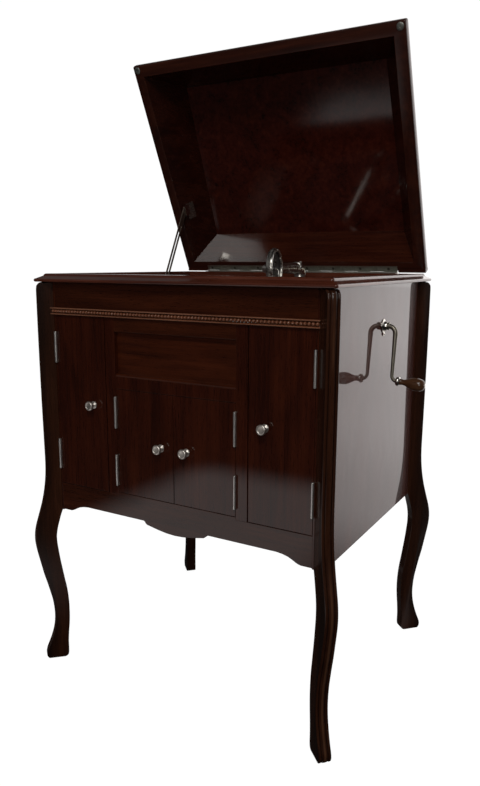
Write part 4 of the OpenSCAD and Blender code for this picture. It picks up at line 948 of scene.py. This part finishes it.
# ------------------------------------------------------------------ finishes of the CAD parts that stay
FINISH = {
    "side_panel_left": WOOD_SIDE, "side_panel_right": WOOD_SIDE, "back_panel": WOOD_V, "bottom_board": INNER_Y, "frieze_board": WOOD_H,
    "apron_rail": WOOD_H, "face_frame": WOOD_V, "recess_panel": WOOD_RECESS, "corner_posts": WOOD_V, "partitions": INNER_V,
    "motor_board": WOOD_TOP_X, "tone_chamber": INNER_Y, "horn_elbow": IRON, "door_hinge_fixed_leaves": NICKEL_PIN, "hinge_pins": NICKEL_PIN,
    "lid_hinge_fixed_leaf": NICKEL_LEAF, "stay_stud": NICKEL, "motor_top_plate": IRON, "motor_frame": IRON,
    "tall_door_left": WOOD_V, "tall_leaves_left": NICKEL_PIN, "tall_door_right": WOOD_V, "tall_leaves_right": NICKEL_PIN,
    "centre_door_left": WOOD_V, "centre_leaves_left": NICKEL_PIN, "centre_door_right": WOOD_V, "centre_leaves_right": NICKEL_PIN,
    "lid_hinge_moving_leaf": NICKEL_LEAF, "stay_bracket": NICKEL_WORN, "stay_bar": STAY_METAL, "turntable_spindle": STEEL,
    "spring_barrel": BRASS, "mainspring": STEEL, "winding_arbor": STEEL, "idler_gear": BRASS, "governor": BRASS,
    "brake_lever": NICKEL, "speed_lever": NICKEL,
}
for name, m in FINISH.items():
    o = nodes[name]
    if not o.data.materials:
        o.data.materials.append(m)
    for i in range(len(o.data.materials)):
        o.data.materials[i] = m

# ------------------------------------------------------------------ floor, light, camera
def stage_mesh(name, verts, faces, mat, camera=True, diffuse=True, glossy=True, shadow=True):
    me = bpy.data.meshes.new(name)
    me.from_pydata(verts, [], faces)
    me.materials.append(mat)
    me.update()
    o = bpy.data.objects.new(name, me)
    bpy.context.scene.collection.objects.link(o)
    o.visible_camera, o.visible_diffuse, o.visible_glossy, o.visible_shadow = camera, diffuse, glossy, shadow
    o.visible_transmission = o.visible_volume_scatter = False
    return o


def emitter(name):
    m = bpy.data.materials.new(name)
    m.use_nodes = True
    t = m.node_tree
    t.nodes.clear()
    out = t.nodes.new("ShaderNodeOutputMaterial")
    e = t.nodes.new("ShaderNodeEmission")
    t.links.new(e.outputs[0], out.inputs["Surface"])
    return m, t, e


# white paper sweep as the camera sees it: the floor keeps a trace of shadow, the backdrop none
m, t, bs = new_material("floor_white")
tc = grain_coords(t, "x", 1.0)
put(t, bs.inputs["Base Color"], ramp(t, noise(t, tc, 3, 3), [(0.3, (0.15, 0.15, 0.15)), (0.7, (0.17, 0.17, 0.17))]))
bs.inputs["Roughness"].default_value = 0.8
bs.inputs["Specular IOR Level"].default_value = 0.0
bs.inputs["Emission Color"].default_value = (1, 1, 1, 1)
bs.inputs["Emission Strength"].default_value = 0.985
stage_mesh("floor", [(-12, -12, -0.0006), (12, -12, -0.0006), (12, 16, -0.0006), (-12, 16, -0.0006)], [(0, 1, 2, 3)], m,
           diffuse=False, glossy=False, shadow=False)
m, t, e = emitter("backdrop_white")
put(t, e.inputs["Color"], ramp(t, noise(t, grain_coords(t, "x", 1.0), 0.1, 1), [(0.0, (1, 1, 1)), (1.0, (1, 1, 1))]))
e.inputs["Strength"].default_value = 1.02
vs, fs = [], []
for i in range(13):
    el = math.radians(-90 + 15 * i)
    for j in range(24):
        az = math.radians(15 * j)
        vs.append((30 * math.cos(el) * math.cos(az), 30 * math.cos(el) * math.sin(az), 30 * math.sin(el)))
stage_mesh("backdrop", vs, grid_faces(13, 24, False, True), m, diffuse=False, glossy=False, shadow=False)

# the same pale floor as light and as a mirror image: plain paper in one colour, lit in front on the left and
# brighter behind, and unlit elsewhere and below the case
m, t, e = emitter("floor_light")
tc = t.nodes.new("ShaderNodeTexCoord")
sp = t.nodes.new("ShaderNodeSeparateXYZ")
t.links.new(tc.outputs["Object"], sp.inputs[0])
X, Y = sp.outputs["X"], sp.outputs["Y"]


def times(t, *v):
    out = v[0]
    for q in v[1:]:
        out = calc(t, "MULTIPLY", out, q)
    return out


front = times(t, level(t, Y, -1.80, -1.50), level(t, X, -1.00, -0.75), level(t, X, -0.18, 0.16, 1.0, 0.0), level(t, Y, -0.80, -0.35, 1.0, 0.0))
rise = calc(t, "ADD", calc(t, "ADD", level(t, Y, 0.15, 1.0, 0.0, 0.72), level(t, Y, 0.6, 2.4, 0.0, 0.42)), level(t, Y, 1.8, 7.0, 0.0, 0.28))
rlim = level(t, calc(t, "SUBTRACT", X, calc(t, "MULTIPLY", Y, 1.15)), -0.1, 0.5, 1.0, 0.0)
llim = level(t, calc(t, "ADD", X, calc(t, "MULTIPLY", Y, 0.45)), -0.2, 0.3)
behind = times(t, rise, rlim, llim)
c = blend(t, front, (0.012, 0.0115, 0.0113, 1), (0.70, 0.668, 0.661, 1))
c = blend(t, level(t, behind, 0.0, 0.02), c, (1.0, 0.955, 0.945, 1))
put(t, e.inputs["Color"], c)
put(t, e.inputs["Strength"], calc(t, "MAXIMUM", behind, level(t, behind, 0.0, 0.02, 1.0, 0.0)))
stage_mesh("floor_light", [(-16, -16, -0.0010), (16, -16, -0.0010), (16, 24, -0.0010), (-16, 24, -0.0010)], [(0, 1, 2, 3)], m,
           camera=False, shadow=False)

world = bpy.data.worlds.new("studio")
bpy.context.scene.world = world
world.use_nodes = True
wt = world.node_tree
wt.nodes.clear()
wo = wt.nodes.new("ShaderNodeOutputWorld")
bg = wt.nodes.new("ShaderNodeBackground")
wt.links.new(bg.outputs[0], wo.inputs["Surface"])
tc = wt.nodes.new("ShaderNodeTexCoord")
sp = wt.nodes.new("ShaderNodeSeparateXYZ")
wt.links.new(tc.outputs["Generated"], sp.inputs[0])
lean = calc(wt, "ADD", calc(wt, "MULTIPLY", sp.outputs["X"], 0.242), calc(wt, "MULTIPLY", sp.outputs["Y"], 0.970))
lobe = calc(wt, "MULTIPLY", level(wt, lean, 0.38, 0.92, 0.0, 1.65), level(wt, sp.outputs["Z"], 0.55, 0.85, 1.0, 0.0))
fill = calc(wt, "MULTIPLY", level(wt, sp.outputs["Z"], 0.05, 0.2, 0.0, 0.12), level(wt, sp.outputs["Z"], 0.62, 0.76, 1.0, 0.0))
s = calc(wt, "MAXIMUM", lobe, fill)
put(wt, bg.inputs["Strength"], calc(wt, "MAXIMUM", s, 0.012))
put(wt, bg.inputs["Color"], (1.0, 0.965, 0.95, 1))


def area(name, loc, target, sx, sy, power, color=(1, 0.98, 0.95)):
    l = bpy.data.lights.new(name, "AREA")
    l.shape = "RECTANGLE"
    l.size, l.size_y = sx, sy
    l.energy = power
    l.color = color
    o = bpy.data.objects.new(name, l)
    o.location = loc
    d = Vector(target) - Vector(loc)
    o.rotation_euler = d.to_track_quat("-Z", "Y").to_euler()
    bpy.context.scene.collection.objects.link(o)
    return o


area("softbox_high", (0.920, -2.076, 2.827), (0.0, 0.0, 0.9), 0.7, 0.7, 22)
area("softbox_low", (1.08, -2.43, 1.31), (0.0, 0.0, 0.9), 0.7, 0.7, 8)

cam = bpy.data.cameras.new("photo_camera")
cam.sensor_fit = "VERTICAL"
cam.sensor_height = 36
cam.lens = 31.82
cam.shift_x, cam.shift_y = 0.000947, -0.004575
cam.clip_start, cam.clip_end = 0.05, 60
co = bpy.data.objects.new("photo_camera", cam)
bpy.context.scene.collection.objects.link(co)
yaw, pitch, roll = (math.radians(a) for a in (30.3247, 10.3560, 0.1777))
fwd = Vector((-math.sin(yaw) * math.cos(pitch), math.cos(yaw) * math.cos(pitch), -math.sin(pitch)))
right = Vector((math.cos(yaw), math.sin(yaw), 0))
upv = right.cross(fwd)
cx_ = right * math.cos(roll) + upv * math.sin(roll)
cy_ = -right * math.sin(roll) + upv * math.cos(roll)
mat = Matrix((cx_, cy_, -fwd)).transposed().to_4x4()
mat.translation = (0.732269, -1.313442, 0.87333)
co.matrix_world = mat
bpy.context.scene.camera = co
bpy.context.scene.view_settings.view_transform = "Standard"
